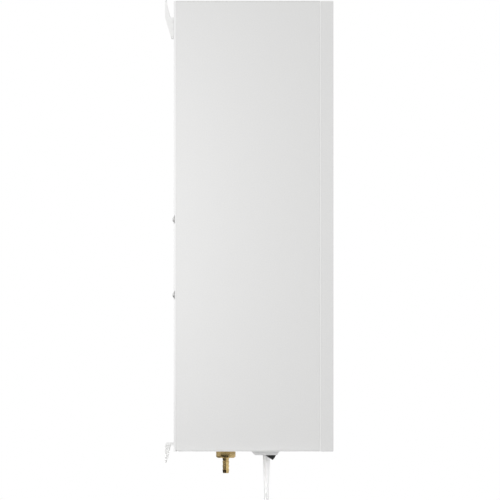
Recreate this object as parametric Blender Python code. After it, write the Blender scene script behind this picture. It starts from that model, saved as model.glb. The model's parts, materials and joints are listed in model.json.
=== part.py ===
"""Wall-hung electric heating boiler, built piece by piece at its real size.

Metres, +Z up, the front facing -Y, the wall in the plane Y = 0. Heights below are measured from the
underside of the casing and distances from the wall; the empty named boiler then moves the whole so that
the origin is the middle of the upper wall face.
"""

import math

import bmesh
import bpy
from mathutils import Matrix, Vector

# Clearances and fineness
GAP = 0.0003
OVERRUN = 0.002
BIG_STEPS = 28
ROUND_STEPS = 16
SMALL_STEPS = 12
HEX_STEPS = 6
SHARP_ANGLE = math.radians(35)
CORNER_STEPS = 4
BEND_STEPS = 4
STEEP_SHARE = 0.9
HALF_STEP_SHARE = 0.5

# Casing of folded sheet
CASING_WIDTH = 0.400
CASING_HEIGHT = 0.700
CASING_DEPTH = 0.2481
WALL_GAP = 0.0138
SHEET = 0.001
FLANGE = 0.013
HEM_WIDTH = 0.014
HEM_DEPTH = 0.0036
PLATE_SHEET = 0.0015
COVER_LIP = 0.0192
SEAL_THICKNESS = 0.0017
SEAL_WIDTH = 0.008
SEAL_INSET = 0.0006
HOOK_WIDTH = 0.030
HOOK_REACH = 0.010
HOOK_SPACING = 0.220

# Screws that hold the side panels to the back plate
SCREW_HEAD_RADIUS = 0.00465
SCREW_HEAD_HEIGHT = 0.005
SCREW_SHANK_RADIUS = 0.002
SCREW_SHANK_LENGTH = 0.008
SCREW_INSET = 0.007
SCREW_HEIGHTS = (0.2431, 0.3604)
POCKET_DEPTH = 0.0019
POCKET_HEIGHT = 0.012
DOME_STEPS = 3

# Upper wall rail: its side outline is a hook with teeth against the casing
RAIL_INSET = 0.050
RAIL_SHEET = 0.0018
RAIL_RISE = 0.016
RAIL_BEND = 0.025
RAIL_HOOK = 0.031
RAIL_SHOULDER = 0.0081
RAIL_TOE = 0.0092
TOOTH_PITCH = 0.0109
TOOTH_GAP = 0.0031
TOOTH_DEPTH = 0.0033
TOOTH_COUNT = 3

# Lower wall bracket: an angle with gusset cheeks
ANGLE_INSET = 0.050
ANGLE_SHEET = 0.0018
ANGLE_TOP = 0.0109
ANGLE_DROP = 0.0295
ANGLE_CORNER = 0.003
GUSSET_REACH = 0.0081
GUSSET_DROP = 0.0225
GUSSET_SHEET = 0.002

# Control panel behind the cover's window
PANEL_WIDTH = 0.180
PANEL_HEIGHT = 0.080
PANEL_CENTRE_HEIGHT = 0.430
PANEL_WALL = 0.002
RAIL_STRIP_SHEET = 0.0015
STRIP_HEIGHT = 0.060
BOARD_THICKNESS = 0.0016
DISPLAY_WIDTH = 0.086
DISPLAY_HEIGHT = 0.042
DISPLAY_RAISE = 0.010
WINDOW_THICKNESS = 0.0015
BUTTON_RADIUS = 0.0065
BUTTON_FLANGE = 0.0015
BUTTON_FLANGE_RADIUS = 0.0085
BUTTON_PLUNGER_RADIUS = 0.003
BUTTON_TRAVEL = 0.0010
BUTTON_PITCH = 0.030
BUTTON_DROP = 0.026
BOARD_SETBACK = 0.012

# Electrical tray and what it carries
TRAY_LOW = 0.120
TRAY_HIGH = 0.350
TRAY_INSET = 0.014
TRAY_RIGHT = 0.010
TRAY_SHEET = 0.0015
BOSS_RADIUS = 0.004
BOSS_HEIGHT = 0.008
POWER_BOARD_END = 0.018
POWER_BOARD_HEIGHT = 0.110
POWER_BOARD_INSET = 0.008
TRANSFORMER = (0.040, 0.030, 0.034)
BOARD_RELAY = (0.016, 0.020, 0.028)
RELAY_COUNT = 4
RELAY_SPACING = 0.020
CONTACTOR = (0.045, 0.080, 0.078)
TERMINAL_BLOCK = (0.060, 0.036, 0.030)
TERMINAL_RADIUS = 0.003
TERMINAL_PITCH = 0.014
TERMINAL_COUNT = 4
COMPONENT_SINK = 0.0004
CUTOUT_RADIUS = 0.018
CUTOUT_DEPTH = 0.030
RESET_RADIUS = 0.004
RESET_RISE = 0.004
RESET_DEPTH = 0.010
RESET_TRAVEL = 0.002

# Heating tank with its element group
TANK_RADIUS = 0.055
TANK_WALL = 0.002
TANK_LOW = 0.300
TANK_HEIGHT = 0.250
TANK_DISH = 0.018
TANK_FLOOR_SHARE = 0.6
TANK_FROM_WALL = 0.150
TANK_INSET = 0.070
NECK_RADIUS = 0.034
NECK_HEIGHT = 0.010
NECK_FLANGE_RADIUS = 0.045
NECK_FLANGE = 0.004
TANK_PORT_HEIGHT = 0.210
ELEMENT_SEAL = 0.002
ELEMENT_FLANGE = 0.010
ELEMENT_HUB_RADIUS = 0.028
ELEMENT_HUB = 0.006
ELEMENT_RADIUS = 0.004
ELEMENT_LENGTH = 0.200
ELEMENT_HALF_WIDTH = 0.014
ELEMENT_SPACING = 0.024
ELEMENT_RISE = 0.012
BRACKET_HEIGHT = 0.020
BRACKET_LOW = 0.332
BRACKET_SHEET = 0.003
BRACKET_HALF_WIDTH = 0.036
BRACKET_WRAP = 0.020

# Expansion vessel, flat and round, with a rubber diaphragm
VESSEL_RIM = 0.004
VESSEL_HALF_DEPTH = 0.036
VESSEL_WALL = 0.002
VESSEL_TO_PANEL = 0.0007
VESSEL_TO_PIPE = 0.013
VESSEL_TO_TOP = 0.028
VESSEL_TO_TRAY = 0.018
VESSEL_SHOULDER_INSET = 0.038
DIAPHRAGM = 0.002
VESSEL_PORT_RADIUS = 0.007
VESSEL_PORT_SHARE = 0.54

# Water pipes, pump and fittings
STUB_FROM_WALL = 0.0947
PIPE_SPACING = 0.070
STUB_DROP = 0.010
PIPE_RADIUS = 0.011
PIPE_BORE = 0.010
STUB_RADIUS = 0.0132
STUB_BORE = 0.0095
STUB_COLLAR_RADIUS = 0.018
STUB_COLLAR = 0.004
STUB_INSIDE = 0.030
PIPE_BEND = 0.020
PIPE_JOINT = 0.001
MANIFOLD_LOW = 0.060
MANIFOLD_HIGH = 0.110
MANIFOLD_HALF = 0.020
PUMP_HEIGHT = 0.175
PUMP_HALF_LENGTH = 0.0645
VOLUTE_RADIUS = 0.048
VOLUTE_DEPTH = 0.040
CHAMBER_RADIUS = 0.039
CHAMBER_DEPTH = 0.028
BRANCH_RADIUS = 0.0155
BRANCH_BORE = 0.010
MOTOR_RADIUS = 0.043
MOTOR_LENGTH = 0.072
MOTOR_FLANGE = 0.006
MOTOR_CHAMFER = 0.006
SHAFT_RADIUS = 0.004
SHAFT_LENGTH = 0.058
SHAFT_CLEARANCE = 0.0005
IMPELLER_RADIUS = 0.034
IMPELLER_DISC = 0.004
IMPELLER_CLEARANCE = 0.004
VANE_HEIGHT = 0.010
VANE_THICKNESS = 0.0025
VANE_COUNT = 6
FLOW_BACK = 0.050
FLOW_LOW = 0.048
VENT_RADIUS = 0.012
VENT_HEIGHT = 0.040
VENT_CAP_RADIUS = 0.006
VENT_CAP = 0.010
VENT_STANDOFF = 0.003
SENSOR_HEIGHT = 0.250
SENSOR_WALL = 0.003
SENSOR_DEPTH = 0.010
SENSOR_LEAD_RADIUS = 0.0016
VALVE_RADIUS = 0.013
VALVE_LENGTH = 0.034
VALVE_SPINDLE_RADIUS = 0.004
VALVE_SPINDLE = 0.014
VALVE_OUTLET_REACH = 0.010
VALVE_CAP_RADIUS = 0.016
VALVE_CAP_LENGTH = 0.022
VALVE_CAP_RIB = 0.0015
VALVE_CAP_RIBS = 10
GAUGE_RADIUS = 0.021
GAUGE_DEPTH = 0.020
GAUGE_WALL = 0.002
GAUGE_OFFSET = 0.045
GAUGE_STEM_RADIUS = 0.005
NEEDLE_LENGTH = 0.014
NEEDLE_TAIL = 0.005
NEEDLE_WIDTH = 0.0016
NEEDLE_THICKNESS = 0.001
NEEDLE_HUB_RADIUS = 0.0022
NEEDLE_START = math.radians(-135)
HOSE_RADIUS = 0.005
HOSE_BORE = 0.0035
HOSE_BEND = 0.012
HOSE_OUT = 0.021
DISCHARGE_RADIUS = 0.008
BEND_SHARE = 0.75

# Brass hose fitting under the casing
BARB_INSET = 0.050
NUT_ACROSS = 0.0262
NUT_HEIGHT = 0.0101
NUT_CHAMFER = 0.0022
BARB_TOP = 0.0093
BARB_RADIUS = 0.00535
BARB_ROOT = 0.0045
BARB_PITCH = 0.0062
BARB_COUNT = 4
BARB_BORE = 0.0028
SPIGOT_RADIUS = 0.006
SPIGOT_RISE = 0.022

# Switch and lead moulding under the casing
MOULDING_INSET = 0.028
MOULDING_WIDTH = 0.060
MOULDING_REAR = 0.1347
MOULDING_FRONT = 0.1780
MOULDING_DROP = 0.0059
MOULDING_SLANT = 0.0036
MOULDING_BEVEL = 0.0026
MOULDING_EDGE = 0.0017
SLEEVE_RISE = 0.006
SWITCH_BODY_RISE = 0.022
SWITCH_WALL = 0.0015
ROCKER_INSET = 0.050
ROCKER_WIDTH = 0.014
ROCKER_RADIUS = 0.0154
ROCKER_FROM_WALL = 0.15775
ROCKER_PIVOT_DROP = 0.0017
ROCKER_TILT = math.radians(17.5)
ROCKER_TIP_ANGLE = math.radians(33.5)
ROCKER_TOP_ANGLE = math.radians(8)
ROCKER_VALLEY = 0.0048
ROCKER_HUB = 0.005
ROCKER_HUB_HALF = 0.0045
ROCKER_CAVITY = 0.009
ROCKER_PIN_RADIUS = 0.0016
ROCKER_PIN_REACH = 0.0015
ROCKER_CLEARANCE = 0.0005

# Strain relief, lead, coil and plug
LEAD_INSET = 0.072
LEAD_FROM_WALL = 0.1580
LEAD_RADIUS = 0.0034
RELIEF_TOP_RADIUS = 0.0056
RELIEF_END_RADIUS = 0.0039
RELIEF_LENGTH = 0.0445
RELIEF_RING = 0.0004
RELIEF_RING_PITCH = 0.0031
RELIEF_RING_START = 0.0055
RELIEF_RING_WIDTH = 0.0012
RELIEF_BEND = 0.015
INNER_LEAD_HEIGHT = 0.045
RELIEF_RING_COUNT = 2
RELIEF_NECK_RADIUS = 0.0044
RELIEF_NECK_RISE = 0.020
LEAD_POINT_STEP = 0.012
LEAD_STRAIGHT = 0.034
LEAD_SWING = 0.075
LEAD_SWING_SHARES = ((0.10, 0.25), (0.5, 0.5), (0.90, 0.75))
COIL_RADIUS = 0.045
COIL_PITCH = 0.0076
COIL_TURNS = 5
CLIMB_TURN_SHARE = 0.5
LOOP_POINTS = 24
TIE_WIDTH = 0.006
TIE_THICKNESS = 0.0014
TIE_CLEARANCE = 0.0004
PLUG_DROP = 0.030
PLUG_NECK_RADIUS = 0.0058
PLUG_NECK_LENGTH = 0.016
PLUG_BODY_RADIUS = 0.0185
PLUG_BODY_LENGTH = 0.030
PLUG_SHOULDER = 0.010
PIN_RADIUS = 0.0024
PIN_LENGTH = 0.019
PIN_SPACING = 0.019

# Places that follow from the sizes above
HALF_WIDTH = CASING_WIDTH / 2
RAIL_HALF = HALF_WIDTH - RAIL_INSET
ANGLE_HALF = HALF_WIDTH - ANGLE_INSET
PLATE_REAR = -WALL_GAP
PLATE_FRONT = PLATE_REAR - PLATE_SHEET
PANEL_REAR = PLATE_REAR - HEM_DEPTH - GAP
COVER_FRONT = PLATE_REAR - CASING_DEPTH
COVER_REAR = COVER_FRONT + COVER_LIP
PANEL_FRONT = COVER_REAR + 2 * GAP + SEAL_THICKNESS
RAIL_TOP = CASING_HEIGHT + RAIL_RISE
RAIL_BEND_HEIGHT = CASING_HEIGHT - RAIL_BEND
MOUNT_HEIGHT = (RAIL_TOP + RAIL_BEND_HEIGHT) / 2
INSIDE = HALF_WIDTH - SHEET - GAP
STRIP_FRONT = PANEL_FRONT + SHEET + GAP
HOUSING_REAR = STRIP_FRONT - GAP
PANEL_LOW = PANEL_CENTRE_HEIGHT - PANEL_HEIGHT / 2
PANEL_TOP = PANEL_CENTRE_HEIGHT + PANEL_HEIGHT / 2
BOARD_FRONT = COVER_FRONT + BOARD_SETBACK
TRAY_LEFT = HALF_WIDTH - TRAY_INSET
TRAY_REAR = PLATE_FRONT - GAP
TRAY_FRONT = TRAY_REAR - TRAY_SHEET
POWER_BOARD_WIDTH = TRAY_LEFT - TRAY_RIGHT - POWER_BOARD_INSET - POWER_BOARD_END
TANK_X = HALF_WIDTH - TANK_INSET
RETURN_X = TANK_X - PIPE_SPACING
TANK_Y = -TANK_FROM_WALL
STUB_Y = -STUB_FROM_WALL
NECK_TOP = TANK_LOW + TANK_HEIGHT + NECK_HEIGHT
PORT_HEIGHT = TANK_LOW + TANK_PORT_HEIGHT
VESSEL_LEFT = VESSEL_TO_PANEL - INSIDE
VESSEL_RIGHT = TANK_X - PIPE_RADIUS - VESSEL_TO_PIPE
VESSEL_LOW = TRAY_HIGH + VESSEL_TO_TRAY
VESSEL_TOP = CASING_HEIGHT - VESSEL_TO_TOP
VESSEL_ROOM = min(VESSEL_RIGHT - VESSEL_LEFT, VESSEL_TOP - VESSEL_LOW)
VESSEL_RADIUS = VESSEL_ROOM / 2 - VESSEL_RIM
VESSEL_X = (VESSEL_LEFT + VESSEL_RIGHT) / 2
VESSEL_HEIGHT = VESSEL_TOP - VESSEL_ROOM / 2
VESSEL_SHOULDER = VESSEL_RADIUS - VESSEL_SHOULDER_INSET
VESSEL_PORT_HEIGHT = VESSEL_HEIGHT - VESSEL_RADIUS * VESSEL_PORT_SHARE
VESSEL_REAR = PLATE_FRONT - GAP
VESSEL_MIDDLE = VESSEL_REAR - VESSEL_HALF_DEPTH
VESSEL_FRONT = VESSEL_MIDDLE - 2 * GAP - DIAPHRAGM - VESSEL_HALF_DEPTH
VOLUTE_REAR = STUB_Y + VOLUTE_DEPTH / 2
VOLUTE_FRONT = STUB_Y - VOLUTE_DEPTH / 2
MANIFOLD_MIDDLE = (MANIFOLD_LOW + MANIFOLD_HIGH) / 2
BARB_X = BARB_INSET - HALF_WIDTH
MOULDING_NEAR_X = MOULDING_INSET - HALF_WIDTH
MOULDING_FAR_X = MOULDING_NEAR_X + MOULDING_WIDTH
ROCKER_X = ROCKER_INSET - HALF_WIDTH
ROCKER_PIVOT = Vector((ROCKER_X, -ROCKER_FROM_WALL, -ROCKER_PIVOT_DROP))
LEAD_X = LEAD_INSET - HALF_WIDTH
LEAD_Y = -LEAD_FROM_WALL
RELIEF_TOP = -MOULDING_DROP - GAP
RELIEF_END = RELIEF_TOP - RELIEF_LENGTH
LEAD_TOP = RELIEF_END - GAP
LEAD_END = LEAD_TOP - LEAD_STRAIGHT - LEAD_SWING - 2 * LEAD_RADIUS
COIL_CENTRE = Vector((LEAD_X, LEAD_Y, LEAD_END - GAP - 2 * LEAD_RADIUS))

# Directions along the row's axes
RIGHT = Vector((1, 0, 0))
FORWARD = Vector((0, -1, 0))
UP = Vector((0, 0, 1))


def clear_scene():
    """Takes away whatever the scene holds, so that the boiler stands alone."""
    for old in list(bpy.data.objects):
        bpy.data.objects.remove(old)


def finish(name, colour, roughness, metallic):
    """A plain surface: its colour, how dull it is and whether it is bare metal."""
    surface = bpy.data.materials.new(name)
    surface.use_nodes = True
    shader = surface.node_tree.nodes["Principled BSDF"]
    shader.inputs["Base Color"].default_value = (*colour, 1)
    shader.inputs["Roughness"].default_value = roughness
    shader.inputs["Metallic"].default_value = metallic
    return surface


def shape_from(shape):
    """An object made from a finished bmesh, its faces turned outwards."""
    bmesh.ops.recalc_face_normals(shape, faces=shape.faces)
    mesh = bpy.data.meshes.new("shape")
    shape.to_mesh(mesh)
    shape.free()
    made = bpy.data.objects.new("shape", mesh)
    bpy.context.scene.collection.objects.link(made)
    return made


def prism(axis, outline, start, end):
    """An outline in the plane across an axis, drawn out along it. axis is 0, 1 or 2 for X, Y or Z."""
    shape = bmesh.new()
    ends = []
    for along in (start, end):
        corners = []
        for pair in outline:
            place = list(pair)
            place.insert(axis, along)
            corners.append(shape.verts.new(place))
        ends.append(corners)
    first, last = ends
    shape.faces.new(first)
    shape.faces.new(reversed(last))
    count = len(outline)
    for i in range(count):
        j = (i + 1) % count
        shape.faces.new((first[i], last[i], last[j], first[j]))
    return shape_from(shape)


def block(low, high):
    """A box between two opposite corners."""
    outline = ((low[0], low[1]), (high[0], low[1]), (high[0], high[1]), (low[0], high[1]))
    return prism(2, outline, low[2], high[2])


def across(direction):
    """Two directions square to the one given and to each other."""
    helper = UP if abs(direction.dot(UP)) < STEEP_SHARE else RIGHT
    side = direction.cross(helper).normalized()
    return side, direction.cross(side).normalized()


def turned(profile, centre, direction, steps, turn_share=0.0):
    """A profile of (radius, distance along) turned about an axis. It closes on the axis or on itself."""
    shape = bmesh.new()
    side, other = across(direction)
    rings = []
    for radius, along in profile:
        middle = Vector(centre) + direction * along
        if radius == 0:
            rings.append([shape.verts.new(middle)] * steps)
            continue
        ring = []
        for step in range(steps):
            angle = 2 * math.pi * (step + turn_share) / steps
            ring.append(shape.verts.new(middle + radius * (side * math.cos(angle) + other * math.sin(angle))))
        rings.append(ring)
    closed = profile[0][0] > 0
    for i in range(len(rings) if closed else len(rings) - 1):
        near, far = rings[i], rings[(i + 1) % len(rings)]
        for step in range(steps):
            after = (step + 1) % steps
            corners = [near[step], near[after], far[after], far[step]]
            shape.faces.new([corner for k, corner in enumerate(corners) if corner not in corners[:k]])
    return shape_from(shape)


def rod(start, direction, radius, length, steps=SMALL_STEPS, turn_share=0.0):
    """A plain cylinder from a point along a direction."""
    return turned(((0, 0), (radius, 0), (radius, length), (0, length)), start, direction, steps, turn_share)


def ring(start, direction, radius, bore, length, steps=ROUND_STEPS):
    """A cylinder with a hole through it."""
    return turned(((radius, 0), (radius, length), (bore, length), (bore, 0)), start, direction, steps)


def rounded_route(corners, bend):
    """The points of a pipe's centre line: straight between the corners, with a round bend at each."""
    route = [Vector(corners[0])]
    for before, corner, after in zip(corners, corners[1:], corners[2:]):
        corner = Vector(corner)
        into = (corner - Vector(before)).normalized()
        out = (Vector(after) - corner).normalized()
        half = into.angle(out) / 2
        reach = bend * math.tan(half)
        centre = corner + (out - into).normalized() * (bend / math.cos(half))
        start = corner - into * reach - centre
        finish_at = corner + out * reach - centre
        turn = start.angle(finish_at)
        for step in range(BEND_STEPS + 1):
            share = step / BEND_STEPS
            swung = start * math.sin((1 - share) * turn) + finish_at * math.sin(share * turn)
            route.append(centre + swung / math.sin(turn))
    route.append(Vector(corners[-1]))
    return route


def smooth_route(points, step):
    """Even points along one smooth curve through the points given."""
    points = [Vector(point) for point in points]
    padded = [2 * points[0] - points[1], *points, 2 * points[-1] - points[-2]]
    route = []
    for a, b, c, d in zip(padded, padded[1:], padded[2:], padded[3:]):
        parts = max(1, round((c - b).length / step))
        for part in range(parts):
            t = part / parts
            route.append(
                0.5 * (2 * b + (c - a) * t + (2 * a - 5 * b + 4 * c - d) * t**2 + (3 * b - a - 3 * c + d) * t**3)
            )
    route.append(points[-1])
    return route


def tube(route, radius, bore=0.0, steps=SMALL_STEPS):
    """A pipe or, with no bore, a bar along a route, its ends square to it."""
    shape = bmesh.new()
    count = len(route)
    direction = (route[1] - route[0]).normalized()
    side, other = across(direction)
    outer, inner = [], []
    for i, place in enumerate(route):
        before = route[max(i - 1, 0)]
        after = route[min(i + 1, count - 1)]
        heading = (after - before).normalized()
        side = (side - heading * side.dot(heading)).normalized()
        other = heading.cross(side)
        for rings, size in ((outer, radius), (inner, bore)):
            made = []
            for step in range(steps):
                angle = 2 * math.pi * step / steps
                spoke = side * math.cos(angle) + other * math.sin(angle)
                if size > 0:
                    made.append(shape.verts.new(place + spoke * size))
            rings.append(made)
    walls = [outer, inner] if bore > 0 else [outer]
    for wall in walls:
        for near, far in zip(wall, wall[1:]):
            for step in range(steps):
                after = (step + 1) % steps
                shape.faces.new((near[step], near[after], far[after], far[step]))
    for end in (0, count - 1):
        if bore == 0:
            shape.faces.new(outer[end])
            continue
        for step in range(steps):
            after = (step + 1) % steps
            shape.faces.new((outer[end][step], outer[end][after], inner[end][after], inner[end][step]))
    return shape_from(shape)


def combined(base, others, operation):
    """The base joined with, or cut by, the others, which are then taken away."""
    for other in others:
        modifier = base.modifiers.new(other.name, "BOOLEAN")
        modifier.operation = operation
        modifier.solver = "EXACT"
        modifier.object = other
    graph = bpy.context.evaluated_depsgraph_get()
    mesh = bpy.data.meshes.new_from_object(base.evaluated_get(graph))
    base.modifiers.clear()
    base.data = mesh
    for other in others:
        bpy.data.objects.remove(other)
    return base


def joined(base, *others):
    return combined(base, others, "UNION")


def cut(base, *cutters):
    return combined(base, cutters, "DIFFERENCE")


def swung(made, centre, direction, angle):
    """A shape turned about an axis through a point."""
    turn = Matrix.Rotation(angle, 3, direction)
    for corner in made.data.vertices:
        corner.co = centre + turn @ (corner.co - centre)
    return made


def piece(made, name, surface, origin=(0, 0, 0)):
    """Names a finished shape, gives it its surface and hangs it on the boiler. origin is its joint or seat."""
    made.name = name
    made.data.name = name
    made.data.materials.clear()
    made.data.materials.append(surface)
    if made.type == "MESH":
        for corner in made.data.vertices:
            corner.co -= Vector(origin)
        made.data.shade_smooth()
        made.data.set_sharp_from_angle(angle=SHARP_ANGLE)
    made.location = origin
    made.parent = bpy.data.objects["boiler"]
    return made


def mirrored(outline, side):
    """An outline of (x, y) points on the right-hand side, or its mirror image for side -1."""
    return [(side * x, y) for x, y in outline]


def screw_places():
    """The corner name, x and height of each rear screw."""
    for side_name, side in (("left", -1), ("right", 1)):
        for level, height in zip(("lower", "upper"), SCREW_HEIGHTS):
            yield f"{side_name}_{level}", side, side * (HALF_WIDTH - SCREW_INSET), height


def make_back_plate(surface):
    """A sheet with a folded hem all round, pockets for the screw heads and their holes."""
    hem = block((-HALF_WIDTH, PLATE_REAR - HEM_DEPTH, 0), (HALF_WIDTH, PLATE_REAR, CASING_HEIGHT))
    inner = HALF_WIDTH - HEM_WIDTH
    recess = block(
        (-inner, PLATE_REAR - HEM_DEPTH - OVERRUN, HEM_WIDTH),
        (inner, PLATE_FRONT, CASING_HEIGHT - HEM_WIDTH),
    )
    cutters = [recess]
    for _, side, x, height in screw_places():
        edge = side * (HALF_WIDTH + OVERRUN)
        inside = side * (HALF_WIDTH - HEM_WIDTH)
        cutters.append(
            block(
                (min(edge, inside), PLATE_REAR - POCKET_DEPTH, height - POCKET_HEIGHT / 2),
                (max(edge, inside), PLATE_REAR + OVERRUN, height + POCKET_HEIGHT / 2),
            )
        )
        start = (x, PLATE_REAR, height)
        cutters.append(rod(start, FORWARD, SCREW_SHANK_RADIUS + GAP, HEM_DEPTH + OVERRUN))
    piece(cut(hem, *cutters), "back_plate", surface)


def make_rear_screws(surface):
    """Round-headed screws from behind, through the hem into the side panels."""
    floor = PLATE_REAR - POCKET_DEPTH + GAP
    crown = SCREW_HEAD_HEIGHT / 2
    profile = [
        (0, SCREW_SHANK_LENGTH),
        (SCREW_SHANK_RADIUS, SCREW_SHANK_LENGTH),
        (SCREW_SHANK_RADIUS, 0),
        (SCREW_HEAD_RADIUS, 0),
    ]
    for step in range(DOME_STEPS):
        angle = math.pi / 2 * step / DOME_STEPS
        profile.append((SCREW_HEAD_RADIUS * math.cos(angle), -crown - crown * math.sin(angle)))
    profile.append((0, -SCREW_HEAD_HEIGHT))
    for name, _, x, height in screw_places():
        place = (x, floor, height)
        piece(turned(profile, place, FORWARD, SMALL_STEPS), f"rear_screw_{name}", surface)


def make_side_panels(surface):
    """Two sheets with flanges turned in at the back and the front, the rear ones drilled."""
    for name, side in (("left", -1), ("right", 1)):
        outer = HALF_WIDTH
        inner = HALF_WIDTH - SHEET
        turned_in = HALF_WIDTH - FLANGE
        outline = (
            (outer, PANEL_REAR),
            (turned_in, PANEL_REAR),
            (turned_in, PANEL_REAR - SHEET),
            (inner, PANEL_REAR - SHEET),
            (inner, PANEL_FRONT + SHEET),
            (turned_in, PANEL_FRONT + SHEET),
            (turned_in, PANEL_FRONT),
            (outer, PANEL_FRONT),
        )
        panel = prism(2, mirrored(outline, side), 0, CASING_HEIGHT)
        holes = []
        for _, where, x, height in screw_places():
            if where == side:
                start = (x, PANEL_REAR + OVERRUN, height)
                holes.append(rod(start, FORWARD, SCREW_SHANK_RADIUS + GAP, SHEET + 2 * OVERRUN))
        piece(cut(panel, *holes), f"{name}_side_panel", surface)


def lid_sheet(low, high):
    """The sheet of the top or the bottom panel: full width between the side panels' flanges."""
    narrow = HALF_WIDTH - FLANGE - GAP
    rear_step = PANEL_REAR - SHEET - GAP
    front_step = PANEL_FRONT + SHEET + GAP
    half = (
        (narrow, PANEL_REAR),
        (narrow, rear_step),
        (INSIDE, rear_step),
        (INSIDE, front_step),
        (narrow, front_step),
        (narrow, PANEL_FRONT),
    )
    outline = [*half, *reversed(mirrored(half, -1))]
    return prism(2, outline, low, high)


def lid_flanges(low, high):
    """The rear and front flanges of the top or the bottom panel."""
    narrow = HALF_WIDTH - FLANGE - GAP
    for y in (PANEL_REAR, PANEL_FRONT + SHEET):
        yield block((-narrow, y - SHEET, low), (narrow, y, high))


def make_top_panel(surface):
    """The top sheet with its flanges, and two hooks that the front cover hangs on."""
    sheet_low = CASING_HEIGHT - SHEET
    flange_low = CASING_HEIGHT - FLANGE
    hook_top = CASING_HEIGHT - SHEET - GAP
    parts = list(lid_flanges(flange_low, sheet_low + SHEET / 2))
    for side in (-1, 1):
        middle = side * HOOK_SPACING / 2
        parts.append(
            block(
                (middle - HOOK_WIDTH / 2, PANEL_FRONT - HOOK_REACH, hook_top - SHEET),
                (middle + HOOK_WIDTH / 2, PANEL_FRONT + SHEET, hook_top),
            )
        )
    piece(joined(lid_sheet(sheet_low, CASING_HEIGHT), *parts), "top_panel", surface)


def make_bottom_panel(surface):
    """The bottom sheet with its flanges and the holes that pipes, fitting, switch and lead pass through."""
    parts = list(lid_flanges(SHEET / 2, FLANGE))
    panel = joined(lid_sheet(0, SHEET), *parts)
    below = -OVERRUN
    length = SHEET + 2 * OVERRUN
    holes = [
        rod((RETURN_X, STUB_Y, below), UP, STUB_RADIUS + GAP, length, ROUND_STEPS),
        rod((TANK_X, STUB_Y, below), UP, STUB_RADIUS + GAP, length, ROUND_STEPS),
        rod((BARB_X, STUB_Y, below), UP, SPIGOT_RADIUS + GAP, length, ROUND_STEPS),
        rod((LEAD_X, LEAD_Y, below), UP, RELIEF_NECK_RADIUS + SWITCH_WALL + 2 * GAP, length, ROUND_STEPS),
    ]
    half_width, rear, front = switch_body_edges()
    holes.append(
        block(
            (ROCKER_X - half_width - GAP, front - GAP, below),
            (ROCKER_X + half_width + GAP, rear + GAP, below + length),
        )
    )
    piece(cut(panel, *holes), "bottom_panel", surface)


def make_front_cover(surface):
    """A pan with lips all round and a window for the control panel. It hangs from its top rear edge."""
    pan = block((-HALF_WIDTH, COVER_FRONT, 0), (HALF_WIDTH, COVER_REAR, CASING_HEIGHT))
    hollow = block(
        (SHEET - HALF_WIDTH, COVER_FRONT + SHEET, SHEET),
        (HALF_WIDTH - SHEET, COVER_REAR + OVERRUN, CASING_HEIGHT - SHEET),
    )
    half = PANEL_WIDTH / 2 + 2 * GAP
    window = block(
        (-half, COVER_FRONT - OVERRUN, PANEL_LOW - 2 * GAP),
        (half, COVER_FRONT + SHEET + OVERRUN, PANEL_TOP + 2 * GAP),
    )
    hinge = (0, COVER_REAR, CASING_HEIGHT)
    piece(cut(pan, hollow, window), "front_cover", surface, hinge)


def make_cover_seals(surface):
    """Pale foam strips on the side panels' front flanges, seen as a fine line in the seam."""
    for name, side in (("left", -1), ("right", 1)):
        edges = sorted((side * (HALF_WIDTH - SEAL_INSET), side * (HALF_WIDTH - SEAL_INSET - SEAL_WIDTH)))
        rear = PANEL_FRONT - GAP
        strip = block((edges[0], rear - SEAL_THICKNESS, 0), (edges[1], rear, CASING_HEIGHT))
        piece(strip, f"cover_seal_{name}", surface)


def make_upper_bracket(surface):
    """A rail screwed to the wall above the casing, with a toothed hook against the back plate."""
    front = PLATE_REAR + GAP
    hook_foot = RAIL_BEND_HEIGHT - RAIL_HOOK
    outline = [(0, RAIL_TOP), (-RAIL_SHEET, RAIL_TOP), (-RAIL_SHEET, CASING_HEIGHT)]
    outline += [(-RAIL_SHOULDER, RAIL_BEND_HEIGHT), (front, RAIL_BEND_HEIGHT)]
    for tooth in range(TOOTH_COUNT):
        top = RAIL_BEND_HEIGHT - (tooth + 1) * TOOTH_PITCH + TOOTH_PITCH / 2
        outline += [
            (front, top),
            (front + TOOTH_DEPTH, top),
            (front + TOOTH_DEPTH, top - TOOTH_GAP),
            (front, top - TOOTH_GAP),
        ]
    outline += [(front, hook_foot), (-RAIL_TOE, hook_foot), (0, RAIL_BEND_HEIGHT)]
    rail = prism(0, outline, -RAIL_HALF, RAIL_HALF)
    piece(rail, "upper_wall_bracket", surface)


def make_lower_bracket(surface):
    """An angle between the back plate and the wall, with a tapered gusset near each end."""
    front = PLATE_REAR + GAP
    foot = ANGLE_TOP - ANGLE_DROP
    under = ANGLE_TOP - ANGLE_SHEET
    corner = ANGLE_CORNER
    outline = [(front, ANGLE_TOP), (front, under), (-ANGLE_SHEET, under), (-ANGLE_SHEET, foot), (0, foot)]
    for step in range(CORNER_STEPS + 1):
        angle = math.pi / 2 * step / CORNER_STEPS
        outline.append((-corner + corner * math.cos(angle), ANGLE_TOP - corner + corner * math.sin(angle)))
    half = ANGLE_HALF
    angle_piece = prism(0, outline, -half, half)
    gusset = (
        (-ANGLE_SHEET / 2, under + ANGLE_SHEET / 2),
        (-GUSSET_REACH, under + ANGLE_SHEET / 2),
        (-GUSSET_REACH, under - ANGLE_SHEET),
        (-2 * ANGLE_SHEET, under - GUSSET_DROP),
        (-ANGLE_SHEET / 2, under - GUSSET_DROP),
    )
    inset = half - GUSSET_SHEET
    cheeks = [prism(0, gusset, side * inset, side * (inset - GUSSET_SHEET)) for side in (-1, 1)]
    piece(joined(angle_piece, *cheeks), "lower_wall_bracket", surface)


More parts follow.
